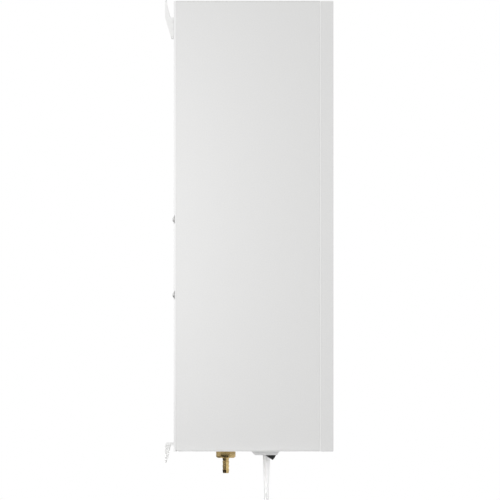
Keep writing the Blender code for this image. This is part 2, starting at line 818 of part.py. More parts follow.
def make_front_rail(surface):
    """A strip behind the side panels' front flanges that carries the control panel."""
    low = PANEL_CENTRE_HEIGHT - STRIP_HEIGHT / 2
    high = PANEL_CENTRE_HEIGHT + STRIP_HEIGHT / 2
    strip = block((-INSIDE, STRIP_FRONT, low), (INSIDE, STRIP_FRONT + RAIL_STRIP_SHEET, high))
    piece(strip, "front_rail", surface)


def button_places():
    """The name and x of each push button on the control panel."""
    names = ("menu", "down", "up", "confirm")
    for i, name in enumerate(names):
        yield name, (i - (len(names) - 1) / 2) * BUTTON_PITCH


def make_control_panel(shell, green, glass, key):
    """Housing, circuit board, display window and push buttons, flush with the front cover."""
    half = PANEL_WIDTH / 2
    housing = block((-half, COVER_FRONT, PANEL_LOW), (half, HOUSING_REAR, PANEL_TOP))
    inner = half - PANEL_WALL
    hollow = block(
        (-inner, COVER_FRONT + PANEL_WALL, PANEL_LOW + PANEL_WALL),
        (inner, HOUSING_REAR + OVERRUN, PANEL_TOP - PANEL_WALL),
    )
    display_low = PANEL_CENTRE_HEIGHT + DISPLAY_RAISE - DISPLAY_HEIGHT / 2
    display_high = display_low + DISPLAY_HEIGHT
    opening = block(
        (-DISPLAY_WIDTH / 2, COVER_FRONT - OVERRUN, display_low),
        (DISPLAY_WIDTH / 2, COVER_FRONT + PANEL_WALL + OVERRUN, display_high),
    )
    button_height = PANEL_CENTRE_HEIGHT - BUTTON_DROP
    holes = [
        rod(
            (x, COVER_FRONT + PANEL_WALL + OVERRUN, button_height),
            FORWARD,
            BUTTON_RADIUS + GAP,
            PANEL_WALL + 2 * OVERRUN,
            ROUND_STEPS,
        )
        for _, x in button_places()
    ]
    piece(cut(housing, hollow, opening, *holes), "control_housing", shell)
    board = block(
        (GAP - inner, BOARD_FRONT, PANEL_LOW + PANEL_WALL + GAP),
        (inner - GAP, BOARD_FRONT + BOARD_THICKNESS, PANEL_TOP - PANEL_WALL - GAP),
    )
    piece(board, "display_board", green)
    window = block(
        (GAP - DISPLAY_WIDTH / 2, COVER_FRONT + GAP, display_low + GAP),
        (DISPLAY_WIDTH / 2 - GAP, COVER_FRONT + GAP + WINDOW_THICKNESS, display_high - GAP),
    )
    piece(window, "display_window", glass)
    flange_at = PANEL_WALL + GAP
    plunger_end = BOARD_SETBACK - BUTTON_TRAVEL - GAP
    for name, x in button_places():
        profile = (
            (0, 0),
            (BUTTON_RADIUS, 0),
            (BUTTON_RADIUS, flange_at),
            (BUTTON_FLANGE_RADIUS, flange_at),
            (BUTTON_FLANGE_RADIUS, flange_at + BUTTON_FLANGE),
            (BUTTON_PLUNGER_RADIUS, flange_at + BUTTON_FLANGE),
            (BUTTON_PLUNGER_RADIUS, plunger_end),
            (0, plunger_end),
        )
        place = (x, COVER_FRONT, button_height)
        piece(turned(profile, place, -FORWARD, ROUND_STEPS), f"{name}_button", key, place)


def standing_box(x, height, size, base):
    """A box of (width, height, depth) standing out from a surface at base, centred on x and height."""
    return block(
        (x - size[0] / 2, base - size[2], height - size[1] / 2),
        (x + size[0] / 2, base, height + size[1] / 2),
    )


def make_electrics(steel, green, black, grey, red):
    """The tray on the back plate with its circuit board, contactor, terminals and overheat cut-out."""
    tray = block((-TRAY_LEFT, TRAY_FRONT, TRAY_LOW), (-TRAY_RIGHT, TRAY_REAR, TRAY_HIGH))
    left = -TRAY_LEFT + POWER_BOARD_INSET
    top = TRAY_HIGH - POWER_BOARD_INSET
    right = left + POWER_BOARD_WIDTH
    low = top - POWER_BOARD_HEIGHT
    bosses = []
    for x in (left + POWER_BOARD_INSET, right - POWER_BOARD_INSET):
        for z in (low + POWER_BOARD_INSET, top - POWER_BOARD_INSET):
            start = (x, TRAY_REAR - TRAY_SHEET / 2, z)
            bosses.append(rod(start, FORWARD, BOSS_RADIUS, BOSS_HEIGHT + TRAY_SHEET / 2))
    piece(joined(tray, *bosses), "electrical_tray", steel)

    board_rear = TRAY_FRONT - BOSS_HEIGHT - GAP
    board_front = board_rear - BOARD_THICKNESS
    board = block((left, board_front, low), (right, board_rear, top))
    middle = (low + top) / 2
    base = board_front + COMPONENT_SINK
    parts = [standing_box(left + TRANSFORMER[0], middle + BOARD_RELAY[1], TRANSFORMER, base)]
    for i in range(RELAY_COUNT):
        x = right - BOARD_RELAY[0] - i * RELAY_SPACING
        parts.append(standing_box(x, low + BOARD_RELAY[1], BOARD_RELAY, base))
    piece(joined(board, *parts), "power_board", green)

    seat = TRAY_FRONT - GAP
    contactor_x = left + CONTACTOR[0] / 2
    contactor_height = TRAY_LOW + POWER_BOARD_INSET + CONTACTOR[1] / 2
    piece(standing_box(contactor_x, contactor_height, CONTACTOR, seat), "contactor", black)
    terminal_x, terminal_low, _ = terminal_entry()
    terminal_height = terminal_low + TERMINAL_BLOCK[1] / 2
    terminals = standing_box(terminal_x, terminal_height, TERMINAL_BLOCK, seat)
    holes = []
    for i in range(TERMINAL_COUNT):
        x = terminal_x + (i - (TERMINAL_COUNT - 1) / 2) * TERMINAL_PITCH
        start = (x, seat - TERMINAL_BLOCK[2] / 2, terminal_height)
        holes.append(rod(start, FORWARD, TERMINAL_RADIUS, TERMINAL_BLOCK[2]))
    piece(cut(terminals, *holes), "terminal_block", grey)

    cutout_x = -TRAY_RIGHT - CUTOUT_RADIUS - POWER_BOARD_INSET
    cutout_height = terminal_height + TERMINAL_BLOCK[1] / 2 + CUTOUT_RADIUS + POWER_BOARD_INSET
    place = Vector((cutout_x, seat, cutout_height))
    body = rod(place, FORWARD, CUTOUT_RADIUS, CUTOUT_DEPTH, ROUND_STEPS)
    well = place + FORWARD * (CUTOUT_DEPTH - RESET_DEPTH)
    body = cut(body, rod(well, FORWARD, RESET_RADIUS + GAP, RESET_DEPTH + OVERRUN))
    piece(body, "overheat_cutout", black)
    button_at = well + FORWARD * (RESET_TRAVEL + GAP)
    length = RESET_DEPTH - RESET_TRAVEL - GAP + RESET_RISE
    piece(rod(button_at, FORWARD, RESET_RADIUS, length), "reset_button", red, button_at)


def terminal_entry():
    """The x of the terminal block's middle, the height of its underside and the y of its middle."""
    contactor_x = -TRAY_LEFT + POWER_BOARD_INSET + CONTACTOR[0] / 2
    x = contactor_x + (CONTACTOR[0] + TERMINAL_BLOCK[0]) / 2 + POWER_BOARD_INSET
    return x, TRAY_LOW + POWER_BOARD_INSET, TRAY_FRONT - GAP - TERMINAL_BLOCK[2] / 2


def make_tank(steel, rubber):
    """The heating tank, its bottled neck, seal, element flange and two hairpin elements."""
    centre = Vector((TANK_X, TANK_Y, TANK_LOW))
    wall = TANK_WALL
    port = PIPE_RADIUS + GAP
    floor = TANK_RADIUS * TANK_FLOOR_SHARE
    profile = (
        (port, 0),
        (floor, 0),
        (TANK_RADIUS, TANK_DISH),
        (TANK_RADIUS, TANK_HEIGHT - TANK_DISH),
        (NECK_RADIUS + wall, TANK_HEIGHT),
        (NECK_RADIUS + wall, TANK_HEIGHT + NECK_HEIGHT - NECK_FLANGE),
        (NECK_FLANGE_RADIUS, TANK_HEIGHT + NECK_HEIGHT - NECK_FLANGE),
        (NECK_FLANGE_RADIUS, TANK_HEIGHT + NECK_HEIGHT),
        (NECK_RADIUS, TANK_HEIGHT + NECK_HEIGHT),
        (NECK_RADIUS, TANK_HEIGHT - wall),
        (TANK_RADIUS - wall, TANK_HEIGHT - TANK_DISH - wall),
        (TANK_RADIUS - wall, TANK_DISH + wall),
        (floor - wall, wall),
        (port, wall),
    )
    shell = turned(profile, centre, UP, BIG_STEPS)
    side_port = rod(
        (TANK_X, TANK_Y + TANK_RADIUS / 2, PORT_HEIGHT), -FORWARD, port, TANK_RADIUS, ROUND_STEPS
    )
    piece(cut(shell, side_port), "heating_tank", steel)

    top = Vector((TANK_X, TANK_Y, NECK_TOP + GAP))
    piece(ring(top, UP, NECK_FLANGE_RADIUS, NECK_RADIUS, ELEMENT_SEAL), "element_seal", rubber)
    flange_at = top + UP * (ELEMENT_SEAL + GAP)
    flange_top = ELEMENT_FLANGE + ELEMENT_HUB
    flange = turned(
        (
            (0, 0),
            (NECK_FLANGE_RADIUS, 0),
            (NECK_FLANGE_RADIUS, ELEMENT_FLANGE),
            (ELEMENT_HUB_RADIUS, ELEMENT_FLANGE),
            (ELEMENT_HUB_RADIUS, flange_top),
            (0, flange_top),
        ),
        flange_at,
        UP,
        BIG_STEPS,
    )
    holes = []
    for y in element_rows():
        for x in (TANK_X - ELEMENT_HALF_WIDTH, TANK_X + ELEMENT_HALF_WIDTH):
            start = Vector((x, y, flange_at.z - OVERRUN))
            holes.append(rod(start, UP, ELEMENT_RADIUS + GAP, flange_top + 2 * OVERRUN))
    piece(cut(flange, *holes), "element_flange", steel)

    for name, y in zip(("rear", "front"), element_rows()):
        top_z = flange_at.z + flange_top + ELEMENT_RISE
        low_z = flange_at.z - ELEMENT_LENGTH
        corners = (
            (TANK_X - ELEMENT_HALF_WIDTH, y, top_z),
            (TANK_X - ELEMENT_HALF_WIDTH, y, low_z),
            (TANK_X + ELEMENT_HALF_WIDTH, y, low_z),
            (TANK_X + ELEMENT_HALF_WIDTH, y, top_z),
        )
        route = rounded_route(corners, ELEMENT_HALF_WIDTH - GAP)
        piece(tube(route, ELEMENT_RADIUS), f"heating_element_{name}", steel)


def element_rows():
    """Where the two elements stand, behind and in front of the tank's middle."""
    return (TANK_Y + ELEMENT_SPACING / 2, TANK_Y - ELEMENT_SPACING / 2)


def make_tank_bracket(surface):
    """Two arms from the back plate, joined by a cross plate that is hollowed to the tank's round."""
    rear = TRAY_REAR
    cross_front = TANK_Y + TANK_RADIUS - BRACKET_WRAP
    cross_rear = TANK_Y + TANK_RADIUS + BRACKET_SHEET
    high = BRACKET_LOW + BRACKET_HEIGHT
    outer = BRACKET_HALF_WIDTH + BRACKET_SHEET
    cross = block((TANK_X - outer, cross_front, BRACKET_LOW), (TANK_X + outer, cross_rear, high))
    start = (TANK_X, TANK_Y, BRACKET_LOW - OVERRUN)
    hollow = rod(start, UP, TANK_RADIUS + GAP, BRACKET_HEIGHT + 2 * OVERRUN, BIG_STEPS)
    arms = []
    for side in (-1, 1):
        edges = sorted((TANK_X + side * BRACKET_HALF_WIDTH, TANK_X + side * outer))
        arms.append(block((edges[0], cross_rear - BRACKET_SHEET, BRACKET_LOW), (edges[1], rear, high)))
    piece(cut(joined(cross, *arms), hollow), "tank_bracket", surface)


def vessel_dish(start, direction):
    """One pressed half of the vessel, its rim at the start and its flat face furthest along."""
    wall = VESSEL_WALL
    depth = VESSEL_HALF_DEPTH
    profile = (
        (0, depth),
        (VESSEL_SHOULDER, depth),
        (VESSEL_RADIUS, depth / 3),
        (VESSEL_RADIUS, wall),
        (VESSEL_RADIUS + VESSEL_RIM, wall),
        (VESSEL_RADIUS + VESSEL_RIM, 0),
        (VESSEL_RADIUS - wall, 0),
        (VESSEL_RADIUS - wall, depth / 3 - wall / 2),
        (VESSEL_SHOULDER - wall / 2, depth - wall),
        (0, depth - wall),
    )
    return turned(profile, start, direction, BIG_STEPS)


def make_vessel(red, rubber):
    """The expansion vessel: two dishes with a diaphragm between their rims."""
    rear_rim = Vector((VESSEL_X, VESSEL_MIDDLE, VESSEL_HEIGHT))
    piece(vessel_dish(rear_rim, -FORWARD), "vessel_rear_shell", red)
    sheet_at = rear_rim + FORWARD * GAP
    sheet = rod(sheet_at, FORWARD, VESSEL_RADIUS + VESSEL_RIM, DIAPHRAGM, BIG_STEPS)
    piece(sheet, "vessel_diaphragm", rubber)
    front_rim = sheet_at + FORWARD * (DIAPHRAGM + GAP)
    port_start = (VESSEL_X, VESSEL_FRONT + 2 * VESSEL_WALL, VESSEL_PORT_HEIGHT)
    port = rod(port_start, FORWARD, VESSEL_PORT_RADIUS, 4 * VESSEL_WALL)
    bore_start = (VESSEL_X, VESSEL_MIDDLE - DIAPHRAGM - VESSEL_WALL, VESSEL_PORT_HEIGHT)
    bore = rod(bore_start, FORWARD, HOSE_BORE, VESSEL_HALF_DEPTH + 4 * VESSEL_WALL)
    shell = cut(joined(vessel_dish(front_rim, FORWARD), port), bore)
    piece(shell, "vessel_front_shell", red)


def make_hoses(braid, rubber):
    """The vessel's hose to the manifold and the safety valve's discharge hose to the brass fitting."""
    start = VESSEL_FRONT - 2 * VESSEL_WALL - GAP
    ahead = start - HOSE_OUT
    corners = (
        (VESSEL_X, start, VESSEL_PORT_HEIGHT),
        (VESSEL_X, ahead, VESSEL_PORT_HEIGHT),
        (VESSEL_X, ahead, MANIFOLD_HIGH + HOSE_BEND),
        (VESSEL_X, STUB_Y, MANIFOLD_MIDDLE),
        (RETURN_X - MANIFOLD_HALF - GAP, STUB_Y, MANIFOLD_MIDDLE),
    )
    piece(tube(rounded_route(corners, HOSE_BEND), HOSE_RADIUS, HOSE_BORE), "vessel_hose", braid)

    out = valve_outlet_y()
    corners = (
        (RETURN_X - VALVE_RADIUS - GAP, out, MANIFOLD_MIDDLE),
        (BARB_X, out, MANIFOLD_MIDDLE),
        (BARB_X, STUB_Y, MANIFOLD_MIDDLE),
        (BARB_X, STUB_Y, SHEET + GAP),
    )
    hose = tube(rounded_route(corners, PIPE_BEND * BEND_SHARE), DISCHARGE_RADIUS, SPIGOT_RADIUS + GAP)
    piece(hose, "discharge_hose", rubber)


def valve_outlet_y():
    """How far out the safety valve's side outlet stands."""
    return STUB_Y - MANIFOLD_HALF - GAP - VALVE_LENGTH / 2


def make_stub_pipe(corners, name, surface):
    """A pipe that ends in a threaded stub under the casing, with a collar seated on the bottom panel."""
    pipe = tube(rounded_route(corners, PIPE_BEND), PIPE_RADIUS, 0, ROUND_STEPS)
    x, y = corners[-1][:2]
    stub = turned(
        (
            (0, -STUB_DROP),
            (STUB_RADIUS, -STUB_DROP),
            (STUB_RADIUS, SHEET + GAP),
            (STUB_COLLAR_RADIUS, SHEET + GAP),
            (STUB_COLLAR_RADIUS, SHEET + GAP + STUB_COLLAR),
            (STUB_RADIUS, SHEET + GAP + STUB_COLLAR),
            (STUB_RADIUS, STUB_INSIDE),
            (0, STUB_INSIDE),
        ),
        (x, y, 0),
        UP,
        ROUND_STEPS,
    )
    solid = joined(pipe, stub)
    first = Vector(corners[0])
    second = Vector(corners[1])
    before = first + (first - second).normalized() * OVERRUN
    bore_route = [before, *corners[1:-1], (x, y, -STUB_DROP - OVERRUN)]
    bore = tube(rounded_route(bore_route, PIPE_BEND), STUB_BORE, 0, SMALL_STEPS)
    piece(cut(solid, bore), name, surface)


def make_pipes(copper, brass):
    """Return, pump and flow pipes, and the brass block that the return branches from."""
    corners = ((RETURN_X, STUB_Y, MANIFOLD_LOW - GAP), (RETURN_X, STUB_Y, STUB_INSIDE / 2))
    make_stub_pipe(corners, "return_pipe", copper)

    manifold = block(
        (RETURN_X - MANIFOLD_HALF, STUB_Y - MANIFOLD_HALF, MANIFOLD_LOW),
        (RETURN_X + MANIFOLD_HALF, STUB_Y + MANIFOLD_HALF, MANIFOLD_HIGH),
    )
    height = MANIFOLD_HIGH - MANIFOLD_LOW
    through = rod((RETURN_X, STUB_Y, MANIFOLD_LOW - OVERRUN), UP, PIPE_BORE, height + 2 * OVERRUN, ROUND_STEPS)
    side_start = (RETURN_X - MANIFOLD_HALF - OVERRUN, STUB_Y, MANIFOLD_MIDDLE)
    side = rod(side_start, RIGHT, HOSE_BORE, 2 * MANIFOLD_HALF + 2 * OVERRUN)
    piece(cut(manifold, through, side), "return_manifold", brass)

    start_z = PUMP_HEIGHT + PUMP_HALF_LENGTH + GAP
    level = (start_z + TANK_LOW) / 2
    corners = (
        (RETURN_X, STUB_Y, start_z),
        (RETURN_X, STUB_Y, level),
        (TANK_X, TANK_Y, level),
        (TANK_X, TANK_Y, TANK_LOW + TANK_WALL / 2),
    )
    piece(tube(rounded_route(corners, PIPE_BEND), PIPE_RADIUS, PIPE_BORE), "pump_pipe", copper)

    entry = TANK_Y + TANK_RADIUS - TANK_WALL / 2
    corners = (
        (TANK_X, entry, PORT_HEIGHT),
        (TANK_X, -FLOW_BACK, PORT_HEIGHT),
        (TANK_X, -FLOW_BACK, FLOW_LOW),
        (TANK_X, STUB_Y, FLOW_LOW),
        (TANK_X, STUB_Y, STUB_INSIDE / 2),
    )
    make_stub_pipe(corners, "flow_pipe", copper)


def make_pump(iron, dark, steel):
    """The circulation pump: volute with two branches, wet rotor with its impeller, and the motor can."""
    centre = Vector((RETURN_X, VOLUTE_REAR, PUMP_HEIGHT))
    volute = rod(centre, FORWARD, VOLUTE_RADIUS, VOLUTE_DEPTH, BIG_STEPS)
    foot = Vector((RETURN_X, STUB_Y, MANIFOLD_HIGH + GAP))
    length = PUMP_HEIGHT + PUMP_HALF_LENGTH - foot.z
    branch = rod(foot, UP, BRANCH_RADIUS, length, ROUND_STEPS, HALF_STEP_SHARE)
    chamber_at = Vector((RETURN_X, VOLUTE_FRONT + CHAMBER_DEPTH, PUMP_HEIGHT))
    chamber = rod(chamber_at, FORWARD, CHAMBER_RADIUS, CHAMBER_DEPTH + OVERRUN, BIG_STEPS)
    bore = rod(foot - UP * OVERRUN, UP, BRANCH_BORE, length + 2 * OVERRUN, ROUND_STEPS, HALF_STEP_SHARE)
    piece(cut(joined(volute, branch), chamber, bore), "pump_volute", iron)

    face = Vector((RETURN_X, VOLUTE_FRONT - GAP, PUMP_HEIGHT))
    well_radius = SHAFT_RADIUS + SHAFT_CLEARANCE
    well_depth = SHAFT_LENGTH + SHAFT_CLEARANCE
    can = motor_can(face, well_radius, well_depth)
    piece(can, "pump_motor", dark)

    back = chamber_at + FORWARD * IMPELLER_CLEARANCE
    disc = rod(back, FORWARD, IMPELLER_RADIUS, IMPELLER_DISC, BIG_STEPS)
    shaft_start = back + FORWARD * (IMPELLER_DISC / 2)
    shaft_end = face.y - SHAFT_LENGTH
    shaft = rod(shaft_start, FORWARD, SHAFT_RADIUS, shaft_start.y - shaft_end, ROUND_STEPS)
    hub = back + FORWARD * IMPELLER_DISC
    vanes = []
    for i in range(VANE_COUNT):
        vane = block(
            (hub.x, hub.y - VANE_HEIGHT, hub.z - VANE_THICKNESS / 2),
            (hub.x + IMPELLER_RADIUS - VANE_THICKNESS, hub.y + IMPELLER_DISC / 2, hub.z + VANE_THICKNESS / 2),
        )
        vanes.append(swung(vane, hub, FORWARD, 2 * math.pi * i / VANE_COUNT))
    piece(joined(disc, shaft, *vanes), "pump_rotor", steel, (RETURN_X, STUB_Y, PUMP_HEIGHT))


def motor_can(face, well_radius, well_depth):
    """The motor's turned can with a blind well for the rotor's shaft."""
    solid = turned(
        (
            (0, 0),
            (VOLUTE_RADIUS, 0),
            (VOLUTE_RADIUS, MOTOR_FLANGE),
            (MOTOR_RADIUS, MOTOR_FLANGE),
            (MOTOR_RADIUS, MOTOR_LENGTH - MOTOR_CHAMFER),
            (MOTOR_RADIUS - MOTOR_CHAMFER, MOTOR_LENGTH),
            (0, MOTOR_LENGTH),
        ),
        face,
        FORWARD,
        BIG_STEPS,
    )
    well = rod(face - FORWARD * OVERRUN, FORWARD, well_radius, well_depth + OVERRUN, ROUND_STEPS)
    return cut(solid, well)


def make_small_fittings(brass, red, black, white):
    """Air vent, flow sensor, safety valve with its cap, and pressure gauge with its needle."""
    vent_y = TANK_Y + TANK_RADIUS + VENT_STANDOFF + VENT_RADIUS
    vent = turned(
        (
            (0, 0),
            (VENT_RADIUS, 0),
            (VENT_RADIUS, PIPE_RADIUS + VENT_HEIGHT),
            (VENT_CAP_RADIUS, PIPE_RADIUS + VENT_HEIGHT),
            (VENT_CAP_RADIUS, PIPE_RADIUS + VENT_HEIGHT + VENT_CAP),
            (0, PIPE_RADIUS + VENT_HEIGHT + VENT_CAP),
        ),
        (TANK_X, vent_y, PORT_HEIGHT + GAP),
        UP,
        ROUND_STEPS,
    )
    saddle_start = (TANK_X, vent_y + 2 * VENT_RADIUS, PORT_HEIGHT)
    saddle = rod(saddle_start, FORWARD, PIPE_RADIUS + GAP, 4 * VENT_RADIUS, ROUND_STEPS)
    piece(cut(vent, saddle), "air_vent", brass)

    clip_at = Vector((TANK_X, -FLOW_BACK, SENSOR_HEIGHT))
    clip = ring(clip_at, UP, PIPE_RADIUS + GAP + SENSOR_WALL, PIPE_RADIUS + GAP, SENSOR_DEPTH)
    middle = SENSOR_HEIGHT + SENSOR_DEPTH / 2
    lead_start = (TANK_X - PIPE_RADIUS - SENSOR_WALL / 2, -FLOW_BACK, middle)
    lead_end = (-TRAY_RIGHT, -FLOW_BACK, middle)
    lead = tube(rounded_route((lead_start, lead_end), HOSE_BEND), SENSOR_LEAD_RADIUS)
    piece(joined(clip, lead), "flow_sensor", black)

    seat = Vector((RETURN_X, STUB_Y - MANIFOLD_HALF - GAP, MANIFOLD_MIDDLE))
    body = turned(
        (
            (0, 0),
            (VALVE_RADIUS, 0),
            (VALVE_RADIUS, VALVE_LENGTH),
            (VALVE_SPINDLE_RADIUS, VALVE_LENGTH),
            (VALVE_SPINDLE_RADIUS, VALVE_LENGTH + VALVE_SPINDLE),
            (0, VALVE_LENGTH + VALVE_SPINDLE),
        ),
        seat,
        FORWARD,
        ROUND_STEPS,
    )
    outlet_start = (RETURN_X, valve_outlet_y(), MANIFOLD_MIDDLE)
    outlet = rod(outlet_start, -RIGHT, SPIGOT_RADIUS, VALVE_RADIUS + VALVE_OUTLET_REACH, ROUND_STEPS)
    bore = rod(outlet_start, -RIGHT, BARB_BORE, VALVE_RADIUS + VALVE_OUTLET_REACH + OVERRUN)
    piece(cut(joined(body, outlet), bore), "safety_valve", brass)

    cap_at = seat + FORWARD * (VALVE_LENGTH + GAP)
    outline = []
    for i in range(2 * VALVE_CAP_RIBS):
        angle = math.pi * i / VALVE_CAP_RIBS
        radius = VALVE_CAP_RADIUS - (i % 2) * VALVE_CAP_RIB
        outline.append((cap_at.x + radius * math.cos(angle), cap_at.z + radius * math.sin(angle)))
    cap = prism(1, outline, cap_at.y, cap_at.y - VALVE_CAP_LENGTH)
    well = rod(cap_at - FORWARD * OVERRUN, FORWARD, VALVE_SPINDLE_RADIUS + GAP, VALVE_SPINDLE + GAP + OVERRUN)
    piece(cut(cap, well), "safety_valve_cap", red, cap_at)

    gauge_at = Vector((RETURN_X + GAUGE_OFFSET, STUB_Y - MANIFOLD_HALF, MANIFOLD_MIDDLE))
    floor = 2 * GAUGE_WALL
    case = turned(
        (
            (0, 0),
            (GAUGE_RADIUS, 0),
            (GAUGE_RADIUS, GAUGE_DEPTH),
            (GAUGE_RADIUS - GAUGE_WALL, GAUGE_DEPTH),
            (GAUGE_RADIUS - GAUGE_WALL, floor),
            (0, floor),
        ),
        gauge_at,
        FORWARD,
        BIG_STEPS,
    )
    corners = (
        (RETURN_X + MANIFOLD_HALF + GAP, STUB_Y, MANIFOLD_MIDDLE),
        (gauge_at.x, STUB_Y, MANIFOLD_MIDDLE),
        (gauge_at.x, gauge_at.y - GAUGE_WALL, MANIFOLD_MIDDLE),
    )
    stem = tube(rounded_route(corners, HOSE_BEND), GAUGE_STEM_RADIUS)
    piece(joined(case, stem), "pressure_gauge", brass)

    pivot = gauge_at + FORWARD * (floor + GAP)
    hub = rod(pivot, FORWARD, NEEDLE_HUB_RADIUS, 2 * NEEDLE_THICKNESS)
    pointer = prism(
        1,
        (
            (pivot.x - NEEDLE_WIDTH / 2, pivot.z - NEEDLE_TAIL),
            (pivot.x + NEEDLE_WIDTH / 2, pivot.z - NEEDLE_TAIL),
            (pivot.x + NEEDLE_WIDTH / 4, pivot.z + NEEDLE_LENGTH),
            (pivot.x - NEEDLE_WIDTH / 4, pivot.z + NEEDLE_LENGTH),
        ),
        pivot.y - NEEDLE_THICKNESS / 2,
        pivot.y - NEEDLE_THICKNESS * 3 / 2,
    )
    needle = swung(joined(hub, pointer), pivot, -FORWARD, NEEDLE_START)
    piece(needle, "gauge_needle", white, pivot)


def make_barb_fitting(brass):
    """A hexagon nut under the casing with a barbed tail below it and a spigot inside."""
    stem = [(SPIGOT_RADIUS, SPIGOT_RISE), (SPIGOT_RADIUS, -BARB_TOP)]
    for i in range(BARB_COUNT):
        crest = -BARB_TOP - i * BARB_PITCH
        stem += [(BARB_RADIUS, crest - GAP), (BARB_ROOT, crest - BARB_PITCH)]
    stem += [(BARB_BORE, -BARB_TOP - BARB_COUNT * BARB_PITCH), (BARB_BORE, SPIGOT_RISE)]
    centre = (BARB_X, STUB_Y, 0)
    tail = turned(stem, centre, UP, ROUND_STEPS)
    corner = NUT_ACROSS / 2 / math.cos(math.pi / HEX_STEPS)
    foot = -GAP - NUT_HEIGHT
    nut = turned(
        (
            (0, foot),
            (corner - NUT_CHAMFER, foot),
            (corner, foot + NUT_CHAMFER),
            (corner, -GAP),
            (0, -GAP),
        ),
        centre,
        UP,
        HEX_STEPS,
    )
    bore = rod((BARB_X, STUB_Y, foot - OVERRUN), UP, BARB_BORE, NUT_HEIGHT + 2 * OVERRUN, ROUND_STEPS)
    piece(joined(tail, cut(nut, bore)), "hose_barb", brass)


def switch_body_edges():
    """The switch body's half width and its rear and front faces, round the rocker's sweep."""
    half = ROCKER_WIDTH / 2 + ROCKER_PIN_REACH + GAP + SWITCH_WALL
    reach = ROCKER_RADIUS + ROCKER_CLEARANCE + SWITCH_WALL
    return half, ROCKER_PIVOT.y + reach, ROCKER_PIVOT.y - reach


def make_moulding(surface):
    """The plastic moulding under the casing that holds the rocker and the lead's strain relief."""
    top, foot = -GAP, -MOULDING_DROP
    rear, front = -MOULDING_REAR, -MOULDING_FRONT
    outline = (
        (rear, top),
        (rear - MOULDING_SLANT, foot + MOULDING_EDGE),
        (rear - MOULDING_SLANT - MOULDING_BEVEL, foot),
        (front + MOULDING_SLANT, foot),
        (front, top),
    )
    shell = prism(0, outline, MOULDING_NEAR_X, MOULDING_FAR_X)
    half, body_rear, body_front = switch_body_edges()
    body = block(
        (ROCKER_X - half, body_front, foot / 2),
        (ROCKER_X + half, body_rear, SWITCH_BODY_RISE),
    )
    bore_radius = RELIEF_NECK_RADIUS + GAP
    sleeve = rod((LEAD_X, LEAD_Y, foot / 2), UP, bore_radius + SWITCH_WALL, SLEEVE_RISE - foot / 2, ROUND_STEPS)
    reach = ROCKER_RADIUS + ROCKER_CLEARANCE
    cavity_half = ROCKER_WIDTH / 2 + ROCKER_CLEARANCE
    cavity = block(
        (ROCKER_X - cavity_half, ROCKER_PIVOT.y - reach, foot - OVERRUN),
        (ROCKER_X + cavity_half, ROCKER_PIVOT.y + reach, ROCKER_CAVITY),
    )
    socket_half = ROCKER_WIDTH / 2 + ROCKER_PIN_REACH + GAP
    socket_start = ROCKER_PIVOT - RIGHT * socket_half
    socket = rod(socket_start, RIGHT, ROCKER_PIN_RADIUS + GAP, 2 * socket_half, ROUND_STEPS)
    bore = rod((LEAD_X, LEAD_Y, foot - OVERRUN), UP, bore_radius, SLEEVE_RISE - foot + 2 * OVERRUN, ROUND_STEPS)
    piece(cut(joined(shell, body, sleeve), cavity, socket, bore), "switch_moulding", surface)


def make_rocker(surface):
    """The rocker: two faces that meet in a valley, round skirts and two pins, its front half raised."""
    outline = [(0, -ROCKER_VALLEY)]
    skirt = []
    for step in range(CORNER_STEPS + 1):
        share = step / CORNER_STEPS
        angle = ROCKER_TOP_ANGLE * share - ROCKER_TIP_ANGLE * (1 - share)
        skirt.append((ROCKER_RADIUS * math.cos(angle), ROCKER_RADIUS * math.sin(angle)))
    skirt.append((ROCKER_HUB_HALF, ROCKER_HUB))
    outline += skirt
    outline += reversed(mirrored(skirt, -1))
    outline = [(ROCKER_PIVOT.y + y, ROCKER_PIVOT.z + z) for y, z in outline]
    half = ROCKER_WIDTH / 2
    paddle = prism(0, outline, ROCKER_X - half, ROCKER_X + half)
    pin_half = half + ROCKER_PIN_REACH
    pin = rod(ROCKER_PIVOT - RIGHT * pin_half, RIGHT, ROCKER_PIN_RADIUS, 2 * pin_half)
    tilted = swung(joined(paddle, pin), ROCKER_PIVOT, RIGHT, ROCKER_TILT)
    piece(tilted, "power_rocker", surface, ROCKER_PIVOT)


def make_strain_relief(surface):
    """The lead's tapered strain relief with its rings, and the lead's inner end up to the terminals."""
    def radius_at(down):
        share = down / RELIEF_LENGTH
        return RELIEF_TOP_RADIUS + (RELIEF_END_RADIUS - RELIEF_TOP_RADIUS) * share

    profile = [
        (0, RELIEF_NECK_RISE),
        (RELIEF_NECK_RADIUS, RELIEF_NECK_RISE),
        (RELIEF_NECK_RADIUS, RELIEF_TOP),
        (RELIEF_TOP_RADIUS, RELIEF_TOP),
    ]
    for i in range(RELIEF_RING_COUNT):
        down = RELIEF_RING_START + i * RELIEF_RING_PITCH
        low = down + RELIEF_RING_WIDTH
        profile += [
            (radius_at(down), RELIEF_TOP - down),
            (radius_at(down) + RELIEF_RING, RELIEF_TOP - down - GAP),
            (radius_at(low) + RELIEF_RING, RELIEF_TOP - low + GAP),
            (radius_at(low), RELIEF_TOP - low),
        ]
    profile += [(RELIEF_END_RADIUS, RELIEF_END), (0, RELIEF_END)]
    relief = turned(profile, (LEAD_X, LEAD_Y, 0), UP, ROUND_STEPS)
    terminal_x, terminal_low, terminal_y = terminal_entry()
    corners = (
        (LEAD_X, LEAD_Y, RELIEF_NECK_RISE / 2),
        (LEAD_X, LEAD_Y, INNER_LEAD_HEIGHT),
        (LEAD_X, terminal_y, INNER_LEAD_HEIGHT),
        (terminal_x, terminal_y, INNER_LEAD_HEIGHT),
        (terminal_x, terminal_y, terminal_low - GAP),
    )
    inner = tube(rounded_route(corners, RELIEF_BEND), LEAD_RADIUS)
    piece(joined(relief, inner), "strain_relief", surface)


